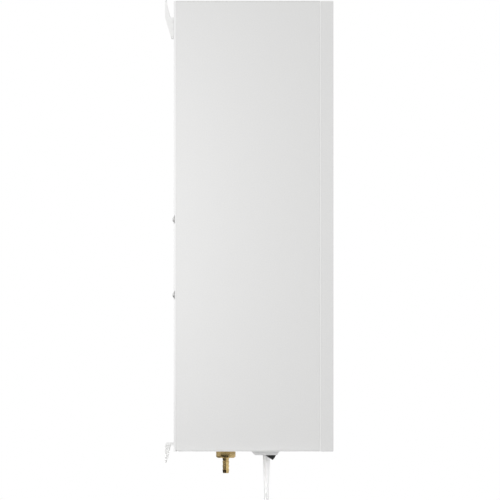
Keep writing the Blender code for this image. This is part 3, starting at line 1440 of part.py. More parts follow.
def lead_curve(route, name, resolution, surface):
    """A round lead along a route, as a curve with its ends filled."""
    data = bpy.data.curves.new(name, "CURVE")
    data.dimensions = "3D"
    data.bevel_depth = LEAD_RADIUS
    data.bevel_resolution = resolution
    data.use_fill_caps = True
    spline = data.splines.new("POLY")
    spline.points.add(len(route) - 1)
    for point, place in zip(spline.points, route):
        point.co = (*place, 1)
    made = bpy.data.objects.new(name, data)
    bpy.context.scene.collection.objects.link(made)
    return piece(made, name, surface)


def lead_route():
    """The hanging stretch: straight down, a swing back to the coil's rear edge, and straight again."""
    points = [(0, 0), (0, LEAD_STRAIGHT / 2), (0, LEAD_STRAIGHT)]
    points += [(COIL_RADIUS * back, LEAD_STRAIGHT + LEAD_SWING * down) for back, down in LEAD_SWING_SHARES]
    swing_end = LEAD_STRAIGHT + LEAD_SWING
    points += [(COIL_RADIUS, swing_end), (COIL_RADIUS, swing_end + 2 * LEAD_RADIUS)]
    return smooth_route([(LEAD_X, LEAD_Y + back, LEAD_TOP - down) for back, down in points], LEAD_POINT_STEP)


def coil_radius(turn):
    """How far the coil's centre line is from its middle after so many turns: in, then out again."""
    return COIL_RADIUS - COIL_PITCH * min(turn, COIL_TURNS - turn)


def coil_route():
    """Loops that spiral in, climb to a second layer in half a turn and spiral out again."""
    route = [COIL_CENTRE + Vector((0, COIL_RADIUS, 2 * LEAD_RADIUS))]
    climb_start = (COIL_TURNS - CLIMB_TURN_SHARE) / 2
    for step in range(COIL_TURNS * LOOP_POINTS + 1):
        turn = step / LOOP_POINTS
        climbed = min(max(turn - climb_start, 0) / CLIMB_TURN_SHARE, 1)
        radius = coil_radius(turn)
        angle = -2 * math.pi * turn
        loop = Vector((COIL_PITCH * climbed, radius * math.cos(angle), radius * math.sin(angle)))
        route.append(COIL_CENTRE + loop)
    route.append(route[-1] - UP * PLUG_DROP)
    return route


def least_gap(route):
    """The least gap between two places of the coil that lie more than half a loop apart along it."""
    apart = LOOP_POINTS // 2
    least = min((first - second).length for i, first in enumerate(route) for second in route[i + apart:])
    return least - 2 * LEAD_RADIUS


def make_lead(surface, dark):
    """The mains lead: its hanging stretch, the coil of its spare length with a tie, and the plug."""
    lead_curve(lead_route(), "mains_lead", 2, surface)
    route = coil_route()
    lead_curve(route, "lead_coil", 1, surface)
    print(f"least gap in the coil {least_gap(route) * 1000:.2f} mm")
    make_tie(dark)
    make_plug(route[-1] - UP * GAP, surface)


def make_tie(surface):
    """A flat band round the loops at the lowest place of the coil."""
    crossings = [coil_radius(turn + CLIMB_TURN_SHARE / 2) for turn in range(COIL_TURNS)]
    inner = min(crossings) - LEAD_RADIUS - TIE_CLEARANCE
    outer = max(crossings) + LEAD_RADIUS + TIE_CLEARANCE
    near = COIL_CENTRE.x - LEAD_RADIUS - TIE_CLEARANCE
    far = COIL_CENTRE.x + COIL_PITCH + LEAD_RADIUS + TIE_CLEARANCE
    y = COIL_CENTRE.y
    z = COIL_CENTRE.z
    band = block(
        (near - TIE_THICKNESS, y - TIE_WIDTH / 2, z - outer - TIE_THICKNESS),
        (far + TIE_THICKNESS, y + TIE_WIDTH / 2, z - inner + TIE_THICKNESS),
    )
    hollow = block((near, y - TIE_WIDTH, z - outer), (far, y + TIE_WIDTH, z - inner))
    piece(cut(band, hollow), "coil_tie", surface)


def make_plug(start, surface):
    """A round moulded plug with a neck and two round pins, hanging from the coil's end."""
    length = PLUG_NECK_LENGTH + PLUG_BODY_LENGTH
    body = turned(
        (
            (0, 0),
            (PLUG_NECK_RADIUS, 0),
            (PLUG_NECK_RADIUS, PLUG_NECK_LENGTH),
            (PLUG_BODY_RADIUS, PLUG_NECK_LENGTH + PLUG_SHOULDER),
            (PLUG_BODY_RADIUS, length),
            (0, length),
        ),
        start,
        -UP,
        ROUND_STEPS,
    )
    pins = []
    for side in (-1, 1):
        pin_start = start + Vector((0, side * PIN_SPACING / 2, PIN_RADIUS - length))
        pins.append(rod(pin_start, -UP, PIN_RADIUS, PIN_LENGTH + PIN_RADIUS))
    piece(joined(body, *pins), "mains_plug", surface)


def main():
    clear_scene()
    boiler = bpy.data.objects.new("boiler", None)
    boiler.location.z = -MOUNT_HEIGHT
    bpy.context.scene.collection.objects.link(boiler)

    enamel = finish("white_enamel", (0.80, 0.80, 0.80), 0.45, 0)
    zinc = finish("zinc_steel", (0.62, 0.63, 0.65), 0.40, 1)
    foam = finish("white_foam", (0.88, 0.88, 0.88), 0.9, 0)
    screw = finish("screw_steel", (0.60, 0.60, 0.60), 0.30, 1)
    steel = finish("tank_steel", (0.55, 0.56, 0.58), 0.35, 1)
    copper = finish("copper", (0.72, 0.38, 0.25), 0.30, 1)
    brass = finish("brass", (0.75, 0.58, 0.25), 0.28, 1)
    iron = finish("cast_iron", (0.16, 0.17, 0.18), 0.65, 0)
    motor = finish("motor_paint", (0.05, 0.18, 0.14), 0.50, 0)
    red = finish("red_paint", (0.60, 0.05, 0.04), 0.45, 0)
    rubber = finish("black_rubber", (0.03, 0.03, 0.03), 0.80, 0)
    braid = finish("steel_braid", (0.55, 0.55, 0.56), 0.50, 1)
    green = finish("board_green", (0.03, 0.22, 0.10), 0.55, 0)
    grey = finish("grey_plastic", (0.55, 0.55, 0.55), 0.50, 0)
    black = finish("black_plastic", (0.03, 0.03, 0.03), 0.35, 0)
    white = finish("white_plastic", (0.82, 0.82, 0.82), 0.40, 0)
    glass = finish("dark_window", (0.02, 0.02, 0.03), 0.10, 0)

    make_back_plate(enamel)
    make_rear_screws(screw)
    make_side_panels(enamel)
    make_top_panel(enamel)
    make_bottom_panel(enamel)
    make_front_cover(enamel)
    make_cover_seals(foam)
    make_upper_bracket(enamel)
    make_lower_bracket(enamel)
    make_front_rail(zinc)
    make_control_panel(white, green, glass, grey)
    make_electrics(zinc, green, black, grey, red)
    make_tank(steel, rubber)
    make_tank_bracket(zinc)
    make_vessel(red, rubber)
    make_hoses(braid, rubber)
    make_pipes(copper, brass)
    make_pump(iron, motor, steel)
    make_small_fittings(brass, red, black, white)
    make_barb_fitting(brass)
    make_moulding(grey)
    make_rocker(black)
    make_strain_relief(white)
    make_lead(white, black)


main()
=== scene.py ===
# %% [markdown]
# # A wall-hung heating boiler
# The solids of the boiler already exist as a fixed frame: every sheet, pipe and screw at its real size, grouped
# into the bodies that move together. This lesson dresses that frame. Each step explains what a piece or a
# finish is on the real object, models it with Blender's own tools and hangs it on the body it belongs to.

# %% Load the frame
import json
import math

import bmesh
import bpy
from mathutils import Matrix, Vector

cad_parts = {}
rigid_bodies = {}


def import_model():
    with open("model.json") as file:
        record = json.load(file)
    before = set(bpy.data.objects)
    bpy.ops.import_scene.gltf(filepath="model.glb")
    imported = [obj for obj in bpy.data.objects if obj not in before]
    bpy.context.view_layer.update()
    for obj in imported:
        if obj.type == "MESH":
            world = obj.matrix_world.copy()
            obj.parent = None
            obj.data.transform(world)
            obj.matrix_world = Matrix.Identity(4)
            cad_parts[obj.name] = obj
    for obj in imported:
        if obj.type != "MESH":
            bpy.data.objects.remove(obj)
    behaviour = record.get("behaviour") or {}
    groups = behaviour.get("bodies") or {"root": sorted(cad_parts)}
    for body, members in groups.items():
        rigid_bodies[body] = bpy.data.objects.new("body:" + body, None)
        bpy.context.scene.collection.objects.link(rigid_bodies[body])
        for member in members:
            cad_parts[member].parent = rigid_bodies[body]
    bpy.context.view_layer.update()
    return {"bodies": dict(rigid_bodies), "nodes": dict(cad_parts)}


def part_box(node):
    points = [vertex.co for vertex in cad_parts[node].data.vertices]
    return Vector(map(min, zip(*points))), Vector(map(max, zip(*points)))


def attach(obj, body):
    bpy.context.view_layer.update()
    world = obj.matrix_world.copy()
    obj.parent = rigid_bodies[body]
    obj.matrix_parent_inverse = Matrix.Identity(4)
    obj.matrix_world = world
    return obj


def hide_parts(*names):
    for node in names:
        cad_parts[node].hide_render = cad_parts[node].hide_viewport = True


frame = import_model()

# %% [markdown]
# The origin is the middle of the upper wall bracket, which is awkward for measuring. A boiler fitter measures
# from the underside of the casing and from the wall, so places below are given that way: x to the viewer's
# right, y negative away from the wall, and height above the casing's underside.

# %% Places measured from the casing
CASING_FOOT = -0.6955
CASING_HEIGHT = 0.700
HALF_WIDTH = 0.200
COVER_FRONT = -0.2619
PANEL_REAR = -0.0177
PANEL_FRONT = -0.2404
SHEET = 0.001
STUB_Y = -0.0947
ROOT = "boiler_body"
UP = (0, 0, 1)
ROOMWARD = (0, -1, 0)
WALLWARD = (0, 1, 0)


def at(x, y, height):
    """A point given by its height above the casing's underside."""
    return Vector((x, y, height + CASING_FOOT))


print("casing underside at", CASING_FOOT, "m")

# %% [markdown]
# The camera looks at the left-hand side from more than thirty metres away through a very long lens, so the
# casing's edges stay parallel, as in a catalogue's side view. One picture side covers 777 mm at the near panel.

# %% Camera
VIEW_DISTANCE = 32.0
VIEW_WIDTH = 0.77665
VIEW_Y = -0.1323
VIEW_HEIGHT = 0.3130
SENSOR = 36.0
CLIP_TIMES = 20

camera_data = bpy.data.cameras.new("side_camera")
camera_data.sensor_width = SENSOR
camera_data.lens = SENSOR * VIEW_DISTANCE / VIEW_WIDTH
camera_data.clip_end = CLIP_TIMES * VIEW_DISTANCE
camera = bpy.data.objects.new("side_camera", camera_data)
camera.location = at(-HALF_WIDTH - VIEW_DISTANCE, VIEW_Y, VIEW_HEIGHT)
camera.rotation_euler = (math.pi / 2, 0, -math.pi / 2)
bpy.context.scene.collection.objects.link(camera)
bpy.context.scene.camera = camera
print("lens", round(camera_data.lens), "mm")

# %% [markdown]
# The mains lead is a real length of flexible cord, so it is made first. It hangs straight out of its strain
# relief, swings back and becomes a tied coil of loops that spiral in, climb a layer and spiral out again. Its
# centre line is computed with the same rule and sizes as the solids have, which keeps it exactly in them.

# %% The lead's centre line
LEAD_RADIUS = 0.0034
LEAD_X = -0.128
LEAD_Y = -0.1580
LEAD_TOP = -0.0510
LEAD_STRAIGHT = 0.034
LEAD_SWING = 0.075
SWING_SHARES = ((0.10, 0.25), (0.5, 0.5), (0.90, 0.75))
POINT_STEP = 0.006
COIL_RADIUS = 0.045
COIL_PITCH = 0.0076
COIL_TURNS = 5
CLIMB_TURN = 0.5
LOOP_POINTS = 48
PLUG_DROP = 0.030
TOUCHING = 0.0003

lead_end = LEAD_TOP - LEAD_STRAIGHT - LEAD_SWING - 2 * LEAD_RADIUS
coil_height = lead_end - TOUCHING - 2 * LEAD_RADIUS


def smooth_route(points, step):
    """Even points along one smooth curve through the points given."""
    padded = [2 * points[0] - points[1], *points, 2 * points[-1] - points[-2]]
    route = []
    for a, b, c, d in zip(padded, padded[1:], padded[2:], padded[3:]):
        parts = max(1, round((c - b).length / step))
        for part in range(parts):
            t = part / parts
            route.append(
                0.5 * (2 * b + (c - a) * t + (2 * a - 5 * b + 4 * c - d) * t**2 + (3 * b - a - 3 * c + d) * t**3)
            )
    route.append(points[-1])
    return route


def coil_radius(turn):
    """How far the loops are from the coil's middle after so many turns: in, then out again."""
    return COIL_RADIUS - COIL_PITCH * min(turn, COIL_TURNS - turn)


hanging = [(0, 0), (0, LEAD_STRAIGHT / 2), (0, LEAD_STRAIGHT)]
hanging += [(COIL_RADIUS * back, LEAD_STRAIGHT + LEAD_SWING * down) for back, down in SWING_SHARES]
hanging += [(COIL_RADIUS, LEAD_TOP - lead_end - 2 * LEAD_RADIUS), (COIL_RADIUS, LEAD_TOP - lead_end)]
lead_route = smooth_route([at(LEAD_X, LEAD_Y + back, LEAD_TOP - down) for back, down in hanging], POINT_STEP)
climb_start = (COIL_TURNS - CLIMB_TURN) / 2
for step in range(COIL_TURNS * LOOP_POINTS + 1):
    turn = step / LOOP_POINTS
    climbed = min(max(turn - climb_start, 0) / CLIMB_TURN, 1)
    angle = -2 * math.pi * turn
    back, up = coil_radius(turn) * math.cos(angle), coil_radius(turn) * math.sin(angle)
    lead_route.append(at(LEAD_X + COIL_PITCH * climbed, LEAD_Y + back, coil_height + up))
lead_route.append(lead_route[-1] - Vector((0, 0, PLUG_DROP)))

# %% [markdown]
# Every piece is modelled as it would be by hand: a primitive is placed, its faces or edges are picked by where
# they are, and an edit-mode tool reshapes them. Most of what repeats is modelled once, round the origin, and
# copied to its places. A few short helpers wrap those steps. They all begin by clearing the selection, because
# an operator acts on everything that is selected.

# %% Picking objects, faces and edges
def alone(thing):
    """Leaves one object selected and active, in object mode."""
    if bpy.context.object and bpy.context.object.mode != "OBJECT":
        bpy.ops.object.mode_set(mode="OBJECT")
    bpy.ops.object.select_all(action="DESELECT")
    thing.select_set(True)
    bpy.context.view_layer.objects.active = thing
    return thing


def edit(thing, action="SELECT"):
    """Opens an object in edit mode with everything selected, or nothing."""
    alone(thing)
    bpy.ops.object.mode_set(mode="EDIT")
    bpy.ops.mesh.select_all(action=action)


def pick(thing, kind, test):
    """Opens an object in edit mode with only the faces or edges selected that pass a test."""
    edit(thing, "DESELECT")
    bpy.ops.mesh.select_mode(type=kind)
    shape = bmesh.from_edit_mesh(thing.data)
    shape.normal_update()
    found = [part for part in (shape.faces if kind == "FACE" else shape.edges) if test(part)]
    for part in found:
        part.select_set(True)
    shape.select_flush_mode()
    bmesh.update_edit_mesh(thing.data)
    return len(found)


def done(thing):
    """Back to object mode with the place, turn and size baked into the mesh."""
    alone(thing)
    bpy.ops.object.transform_apply(location=True, rotation=True, scale=True)
    return thing


def aimed(thing, place, axis):
    """Turns a shape's Z axis along a direction, puts it in its place and bakes both in."""
    thing.matrix_world = Matrix.Translation(place) @ Vector(axis).to_track_quat("Z", "Y").to_matrix().to_4x4()
    return done(thing)


def smooth(thing, degrees=35):
    """Soft shading across gentle edges and crisp shading across sharp ones."""
    alone(thing)
    bpy.ops.object.shade_smooth_by_angle(angle=math.radians(degrees))
    return thing


print("selection helpers ready")

# %% Starting shapes
WELD = 0.00001
ORIGIN = (0, 0, 0)


def box(name, low, high):
    """A box between two opposite corners."""
    low, high = Vector(low), Vector(high)
    bpy.ops.mesh.primitive_cube_add(size=1, location=(low + high) / 2, scale=high - low)
    bpy.context.object.name = name
    return done(bpy.context.object)


def facing_out(gap=0):
    """Welds corners closer than a gap, turns all faces of the mesh being edited outwards and leaves edit mode."""
    bpy.ops.mesh.select_all(action="SELECT")
    if gap:
        bpy.ops.mesh.remove_doubles(threshold=gap)
    bpy.ops.mesh.normals_make_consistent(inside=False)
    bpy.ops.object.mode_set(mode="OBJECT")


def turned(name, profile, start=ORIGIN, axis=UP, steps=48):
    """A solid of revolution: a disc is extruded and resized from each (radius, distance) to the next."""
    (radius, along), *rest = profile
    bpy.ops.mesh.primitive_circle_add(vertices=steps, radius=radius, fill_type="NGON", location=(0, 0, along))
    thing = bpy.context.object
    thing.name = name
    bpy.ops.object.transform_apply(location=True)
    edit(thing)
    for wider, further in rest:
        bpy.ops.mesh.extrude_region_move(TRANSFORM_OT_translate={"value": (0, 0, further - along)})
        share = wider / radius
        bpy.ops.transform.resize(value=(share, share, 1), center_override=(0, 0, further))
        radius, along = wider, further
    facing_out()
    return aimed(thing, start, axis)


print("box and turned shapes ready")

# %% Shaping tools
def bevel_edges(thing, width, steps, test):
    """Rounds the picked edges."""
    if pick(thing, "EDGE", test):
        bpy.ops.mesh.bevel(offset=width, segments=steps, profile=0.5, affect="EDGES")
    return done(thing)


def sink(thing, test, margin, depth):
    """Insets the picked faces by a margin and pushes them in, or out when the depth is negative."""
    if pick(thing, "FACE", test):
        bpy.ops.mesh.inset(thickness=margin, depth=-depth, use_even_offset=True)
    return done(thing)


def applied(thing, kind, **settings):
    """Adds a modifier with its settings and applies it."""
    change = thing.modifiers.new("change", kind)
    for setting, value in settings.items():
        setattr(change, setting, value)
    alone(thing)
    bpy.ops.object.modifier_apply(modifier=change.name)


def cut_with(thing, *cutters, operation="DIFFERENCE"):
    """Cuts other shapes out of this one, or keeps only what they share."""
    for cutter in cutters:
        applied(thing, "BOOLEAN", solver="EXACT", operation=operation, object=cutter)
        bpy.data.objects.remove(cutter)
    return thing


def repeated(thing, *shifts):
    """Copies of a shape, each with its own mesh and moved by a shift. The shape itself goes."""
    twins = []
    for shift in shifts:
        alone(thing)
        bpy.ops.object.duplicate(linked=False)
        bpy.context.object.location = shift
        twins.append(done(bpy.context.object))
    bpy.data.objects.remove(thing)
    return twins


def joined(name, *things):
    """Several meshes gathered into one object."""
    alone(things[0])
    for thing in things[1:]:
        thing.select_set(True)
    bpy.ops.object.join()
    bpy.context.object.name = name
    return bpy.context.object


def softened(thing, width, steps=2, degrees=30):
    """A small round on every sharp edge, as paint, casting or moulding leaves it."""
    limit = math.radians(degrees)
    applied(thing, "BEVEL", width=width, segments=steps, limit_method="ANGLE", angle_limit=limit, harden_normals=False)
    return smooth(thing, 40)


print("shaping tools ready")

# %% [markdown]
# Where a solid of the frame already has the right form, a merged copy of it is dressed: its loose triangles are
# joined, flat ones are dissolved back into whole faces, and its sharp edges get the small round of the real one.

# %% Dressing a solid of the frame
body_of_node = {
    node: body for body, holder in frame["bodies"].items() for node, solid in frame["nodes"].items()
    if solid.parent is holder
}


def dressed(node, width, steps=2):
    """A welded, softly rounded copy of a solid, which it replaces."""
    thing = bpy.data.objects.new(node + "_piece", frame["nodes"][node].data.copy())
    bpy.context.scene.collection.objects.link(thing)
    edit(thing)
    bpy.ops.mesh.remove_doubles(threshold=WELD)
    bpy.ops.mesh.dissolve_limited(angle_limit=math.radians(1))
    bpy.ops.object.mode_set(mode="OBJECT")
    return softened(thing, width, steps) if width else smooth(thing)


def hang(thing, surface, *nodes, slot=None):
    """Gives a piece its finish and puts it on the body of the solids that it stands for, or on the casing's."""
    thing.data.materials.clear()
    thing.data.materials.append(surface)
    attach(thing, body_of_node[nodes[0]] if nodes else ROOT)
    if nodes:
        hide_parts(*nodes)
    return thing


def gathered(name, surface, *things, width=0, degrees=0):
    """Small parts joined into one piece, rounded or smoothed if asked, and hung on the casing's body."""
    piece = joined(name, *things)
    if width:
        softened(piece, width)
    if degrees:
        smooth(piece, degrees)
    return hang(piece, surface)


print("dressing helpers ready,", len(body_of_node), "solids have a body")

# %% [markdown]
# Materials are built from nodes, and three effects turn up in nearly all of them: a fine grain that breaks up
# colour and gloss, broad rubbed patches, and dust that settles on whatever faces up. Each effect is a node
# group that is built once and placed in every material with its own values.

# %% Node helpers
def feed(tree, node, inputs):
    """Fills a node's inputs: a value is set on the socket itself, and another node's output is linked to it."""
    for socket, value in inputs.items():
        if isinstance(value, bpy.types.NodeSocket):
            tree.links.new(value, node.inputs[socket])
        else:
            node.inputs[socket].default_value = value


def placed(tree, kind, inputs=None, **options):
    """Adds a node with its options and inputs, and gives back its outputs."""
    made = tree.nodes.new(kind)
    for option, value in options.items():
        setattr(made, option, value)
    feed(tree, made, inputs or {})
    return made.outputs


def maths(tree, operation, *values, **options):
    """The result of a maths node."""
    return placed(tree, "ShaderNodeMath", dict(enumerate(values)), operation=operation, **options)[0]


def mixed(tree, share, first, second):
    """A colour between two others."""
    return placed(tree, "ShaderNodeMix", {"Factor": share, 6: first, 7: second}, data_type="RGBA")[2]


def effect(name, inputs, outputs):
    """An empty node group with named float inputs and outputs: its tree, its inputs and the node at its end."""
    tree = bpy.data.node_groups.new(name, "ShaderNodeTree")
    for socket, value in inputs.items():
        tree.interface.new_socket(socket, in_out="INPUT", socket_type="NodeSocketFloat").default_value = value
    for socket in outputs:
        tree.interface.new_socket(socket, in_out="OUTPUT", socket_type="NodeSocketFloat")
    return tree, tree.nodes.new("NodeGroupInput").outputs, tree.nodes.new("NodeGroupOutput")


print("node helpers ready")

# %% Fine grain
grain, given, result = effect(
    "fine_grain", {"Scale": 600, "Across": 1, "Depth": 1, "Upright": 1, "Sharpness": 0.2}, ("Tone", "Height")
)
places = placed(grain, "ShaderNodeTexCoord")["Object"]
stretch = placed(grain, "ShaderNodeCombineXYZ", {"X": given["Across"], "Y": given["Depth"], "Z": given["Upright"]})[0]
stretched = placed(grain, "ShaderNodeVectorMath", {0: places, 1: stretch}, operation="MULTIPLY")[0]
cloud = placed(
    grain, "ShaderNodeTexNoise", {"Vector": stretched, "Scale": given["Scale"], "Detail": 3.0, "Roughness": 0.55}
)["Fac"]
low_edge, high_edge = (maths(grain, way, 0.5, given["Sharpness"]) for way in ("SUBTRACT", "ADD"))
tone = placed(grain, "ShaderNodeMapRange", {"Value": cloud, "From Min": low_edge, "From Max": high_edge})["Result"]
feed(grain, result, {"Tone": tone, "Height": cloud})
print("fine grain has", len(grain.nodes), "nodes")

# %% Rubbed patches and settled dust
rub, given, result = effect("rubbed_patches", {"Scale": 9, "Amount": 0.5}, ("Mask",))
places = placed(rub, "ShaderNodeTexCoord")["Object"]
broad = {"Vector": places, "Scale": given["Scale"], "Detail": 6.0, "Roughness": 0.62, "Distortion": 0.4}
cloud = placed(rub, "ShaderNodeTexNoise", broad)["Fac"]
edges = {"Value": cloud, "From Min": 0.42, "From Max": 0.68, "To Max": given["Amount"]}
feed(rub, result, {"Mask": placed(rub, "ShaderNodeMapRange", edges)["Result"]})

dust, given, result = effect("settled_dust", {"Amount": 0.3, "Scale": 60}, ("Mask",))
facing = placed(dust, "ShaderNodeSeparateXYZ", {0: placed(dust, "ShaderNodeNewGeometry")["Normal"]})["Z"]
upward = placed(dust, "ShaderNodeMapRange", {"Value": facing, "From Min": 0.6, "From Max": 1.0})["Result"]
places = placed(dust, "ShaderNodeTexCoord")["Object"]
cloud = placed(dust, "ShaderNodeTexNoise", {"Vector": places, "Scale": given["Scale"], "Detail": 5.0})["Fac"]
clumps = maths(dust, "MULTIPLY", upward, cloud)
feed(dust, result, {"Mask": maths(dust, "MULTIPLY", clumps, given["Amount"])})
print("rubbed patches and settled dust ready")

# %% [markdown]
# One recipe then serves every finish on the boiler. A finish has a colour that drifts between two near tones
# with the grain, a gloss that the rubbed patches dull or polish, a little dust and a bump from the grain. The
# grain is stretched for rolled, brushed or drawn metal and even for paint and moulded plastic.

# %% The recipe for a finish
DUST_COLOUR = (0.55, 0.52, 0.47, 1)


def colour(tone):
    """A colour's four values, from three or from the one value of a grey."""
    return (tone, tone, tone, 1) if isinstance(tone, float) else (*tone, 1)


def shader_of(surface):
    """A material's main shader node."""
    return surface.node_tree.nodes["Principled BSDF"]


def colour_under(surface):
    """What feeds a material's colour so far."""
    return shader_of(surface).inputs["Base Color"].links[0].from_socket


def finish(name, deep, pale, gloss, scale=600, bump=0.00002, patchy=0.08, dusty=0.15, metal=0.0,
           stretch=(1, 1, 1)):
    """A material: two tones, (roughness, its drift), grain scale, bump height, patches, dust, metal, stretch."""
    surface = bpy.data.materials.new(name)
    surface.use_nodes = True
    tree = surface.node_tree
    across, depth, upright = stretch
    fine = placed(tree, "ShaderNodeGroup", {"Scale": scale, "Across": across, "Depth": depth, "Upright": upright},
                  node_tree=grain)
    tones = mixed(tree, fine["Tone"], colour(deep), colour(pale))
    settled = placed(tree, "ShaderNodeGroup", {"Amount": dusty}, node_tree=dust)["Mask"]
    dusted = mixed(tree, settled, tones, DUST_COLOUR)
    worn = placed(tree, "ShaderNodeGroup", {"Amount": patchy}, node_tree=rub)["Mask"]
    rough = maths(tree, "MULTIPLY_ADD", fine["Tone"], gloss[1], gloss[0])
    duller = maths(tree, "ADD", rough, worn, use_clamp=True)
    raised = placed(tree, "ShaderNodeBump", {"Strength": 1.0, "Distance": bump, "Height": fine["Height"]})["Normal"]
    feed(tree, shader_of(surface), {"Metallic": metal, "Base Color": dusted, "Roughness": duller, "Normal": raised})
    return surface


print("finish recipe ready")

# %% [markdown]
# The finishes themselves. The casing is white stove enamel with a faint orange peel of one to two millimetres.
# Copper tube shows long draw marks, brass and steel fittings show fine turning, castings are coarse and dull,
# and the mouldings have the soft sheen of spark-eroded moulds.

# %% Paints and plastics
enamel = finish("white_enamel_finish", (0.800, 0.800, 0.796), (0.828, 0.828, 0.824),
                (0.40, 0.05), 520, 0.00004, 0.05, 0.10)
plate_paint = finish("back_plate_enamel", 0.90, 0.93, (0.36, 0.06), 520, 0.00003, 0.05, 0.10)
bracket_paint = finish("bracket_enamel", (0.92, 0.92, 0.915), (0.95, 0.95, 0.945),
                       (0.34, 0.06), 420, 0.00003, 0.06, 0.12)
foam = finish("white_foam_strip", (0.90, 0.90, 0.895), (0.95, 0.95, 0.945),
              (0.92, 0.05), 2200, 0.0002, 0.0, 0.1)
white_plastic = finish("white_moulded_plastic", 0.80, 0.84, (0.42, 0.06), 1500, 0.00001, 0.05, 0.1)
lead_skin = finish("white_lead_sheath", 0.92, 0.95, (0.46, 0.08), 1800, 0.00001, 0.06, 0.12)
grey_plastic = finish("grey_moulded_plastic", 0.50, 0.56, (0.45, 0.06), 1400, 0.00002, 0.06, 0.12)
moulding_plastic = finish("light_grey_moulding", 0.74, 0.80, (0.45, 0.06), 1400, 0.00002, 0.06, 0.12)
rocker_plastic = finish("black_rocker_plastic", 0.008, 0.014, (0.50, 0.08), 1400, dusty=0.05)
black_plastic = finish("black_moulded_plastic", (0.018, 0.018, 0.019), (0.032, 0.032, 0.033),
                       (0.38, 0.08), 1400, dusty=0.10)
red_plastic = finish("red_moulded_plastic", (0.52, 0.030, 0.022), (0.62, 0.045, 0.030),
                     (0.32, 0.06), 1200, 0.00001, 0.06, 0.10)
rubber = finish("black_rubber_skin", (0.022, 0.022, 0.023), (0.040, 0.039, 0.038),
                (0.68, 0.10), 900, 0.00004, 0.10, 0.25)
red_paint = finish("red_vessel_paint", (0.50, 0.032, 0.024), (0.58, 0.044, 0.032),
                   (0.30, 0.08), 260, 0.00006, 0.12, 0.20)
motor_paint = finish("green_motor_paint", (0.030, 0.115, 0.090), (0.042, 0.150, 0.118),
                     (0.36, 0.08), 420, 0.00006, 0.10, 0.20)
cast_iron = finish("coated_cast_iron", (0.075, 0.080, 0.088), (0.125, 0.130, 0.140),
                   (0.52, 0.12), 380, 0.00035, 0.12, 0.25, 0.35)
print("paints and plastics ready")

# %% Metals
zinc = finish("zinc_coated_sheet", (0.52, 0.53, 0.55), (0.68, 0.69, 0.70),
              (0.30, 0.14), 140, 0.00003, 0.14, 0.20, 1.0)
screw_steel = finish("bright_screw_steel", (0.60, 0.60, 0.60), (0.76, 0.76, 0.75),
                     (0.20, 0.10), 900, 0.00002, 0.06, 0.05, 1.0, (1, 6, 1))
stainless = finish("stainless_tank_steel", (0.50, 0.50, 0.51), (0.62, 0.62, 0.62),
                   (0.26, 0.10), 240, 0.00002, 0.12, 0.20, 1.0, (1, 1, 14))
copper = finish("drawn_copper", (0.62, 0.27, 0.16), (0.80, 0.40, 0.26),
                (0.24, 0.12), 160, 0.00002, 0.18, 0.15, 1.0, (3, 3, 1))
brass = finish("machined_brass", (0.60, 0.40, 0.15), (0.84, 0.66, 0.33),
               (0.17, 0.08), 500, 0.00002, 0.14, 0.15, 1.0, (1, 1, 5))
print("metals ready")

# %% [markdown]
# Three surfaces need more than the recipe. A circuit board is green lacquer over copper: a brick pattern's
# thin joints make the square-cornered tracks and small cells make the solder pads. A hose braid is two sets of
# fine diagonal wires. A smoked window is clear plastic with a dark tint.

# %% Circuit board lacquer
def board_finish():
    """Green lacquer with lighter raised tracks and bright round pads."""
    surface = finish("green_board_lacquer", (0.010, 0.090, 0.042), (0.014, 0.115, 0.055),
                     (0.28, 0.05), 300, 0.00001, 0.04, 0.12)
    tree = surface.node_tree
    places = placed(tree, "ShaderNodeTexCoord")["Object"]
    turn = placed(tree, "ShaderNodeMapping", {"Vector": places, "Rotation": (math.pi / 2, 0, 0)})["Vector"]
    rows = {"Vector": turn, "Scale": 60.0, "Mortar Size": 0.035, "Mortar Smooth": 0.0, "Brick Width": 0.9,
            "Row Height": 0.16}
    tracks = placed(tree, "ShaderNodeTexBrick", rows, offset=0.37, squash=0.6)["Fac"]
    tracked = mixed(tree, tracks, colour_under(surface), (0.030, 0.20, 0.10, 1))
    cells = placed(tree, "ShaderNodeTexVoronoi", {"Vector": places, "Scale": 210.0, "Randomness": 0.35})["Distance"]
    ring = {"Value": cells, "From Min": 0.20, "From Max": 0.24, "To Min": 1.0, "To Max": 0.0}
    pads = placed(tree, "ShaderNodeMapRange", ring)["Result"]
    feed(tree, shader_of(surface), {"Base Color": mixed(tree, pads, tracked, (0.62, 0.60, 0.56, 1))})
    return surface


board_green = board_finish()
print("board lacquer has", len(board_green.node_tree.nodes), "nodes")

# %% Steel braid and smoked window
BRAID_WIRES = 10
BRAID_SLOPE = 2600.0
BRAID_RELIEF = 0.0004


def braid_finish():
    """Diagonal wires round a hose, drawn along its own UV map: u goes round, v goes along in metres."""
    surface = finish("steel_braid_finish", (0.42, 0.43, 0.44), (0.62, 0.62, 0.62),
                     (0.26, 0.12), 900, 0.00002, 0.10, 0.15, 1.0)
    tree = surface.node_tree
    under = colour_under(surface)
    split = placed(tree, "ShaderNodeSeparateXYZ", {0: placed(tree, "ShaderNodeUVMap", uv_map="UVMap")["UV"]})
    waves = []
    for direction in (-1, 1):
        rise = maths(tree, "MULTIPLY", split["Y"], direction * BRAID_SLOPE)
        phase = maths(tree, "MULTIPLY_ADD", split["X"], BRAID_WIRES * 2 * math.pi, rise)
        waves.append(maths(tree, "SINE", phase))
    woven = maths(tree, "MULTIPLY", *waves)
    high = placed(tree, "ShaderNodeMapRange", {"Value": woven, "From Min": -0.9, "From Max": 0.7})["Result"]
    feed(tree, shader_of(surface), {"Base Color": mixed(tree, high, (0.10, 0.10, 0.105, 1), under)})
    feed(tree, tree.nodes["Bump"], {"Distance": BRAID_RELIEF, "Height": high})
    return surface


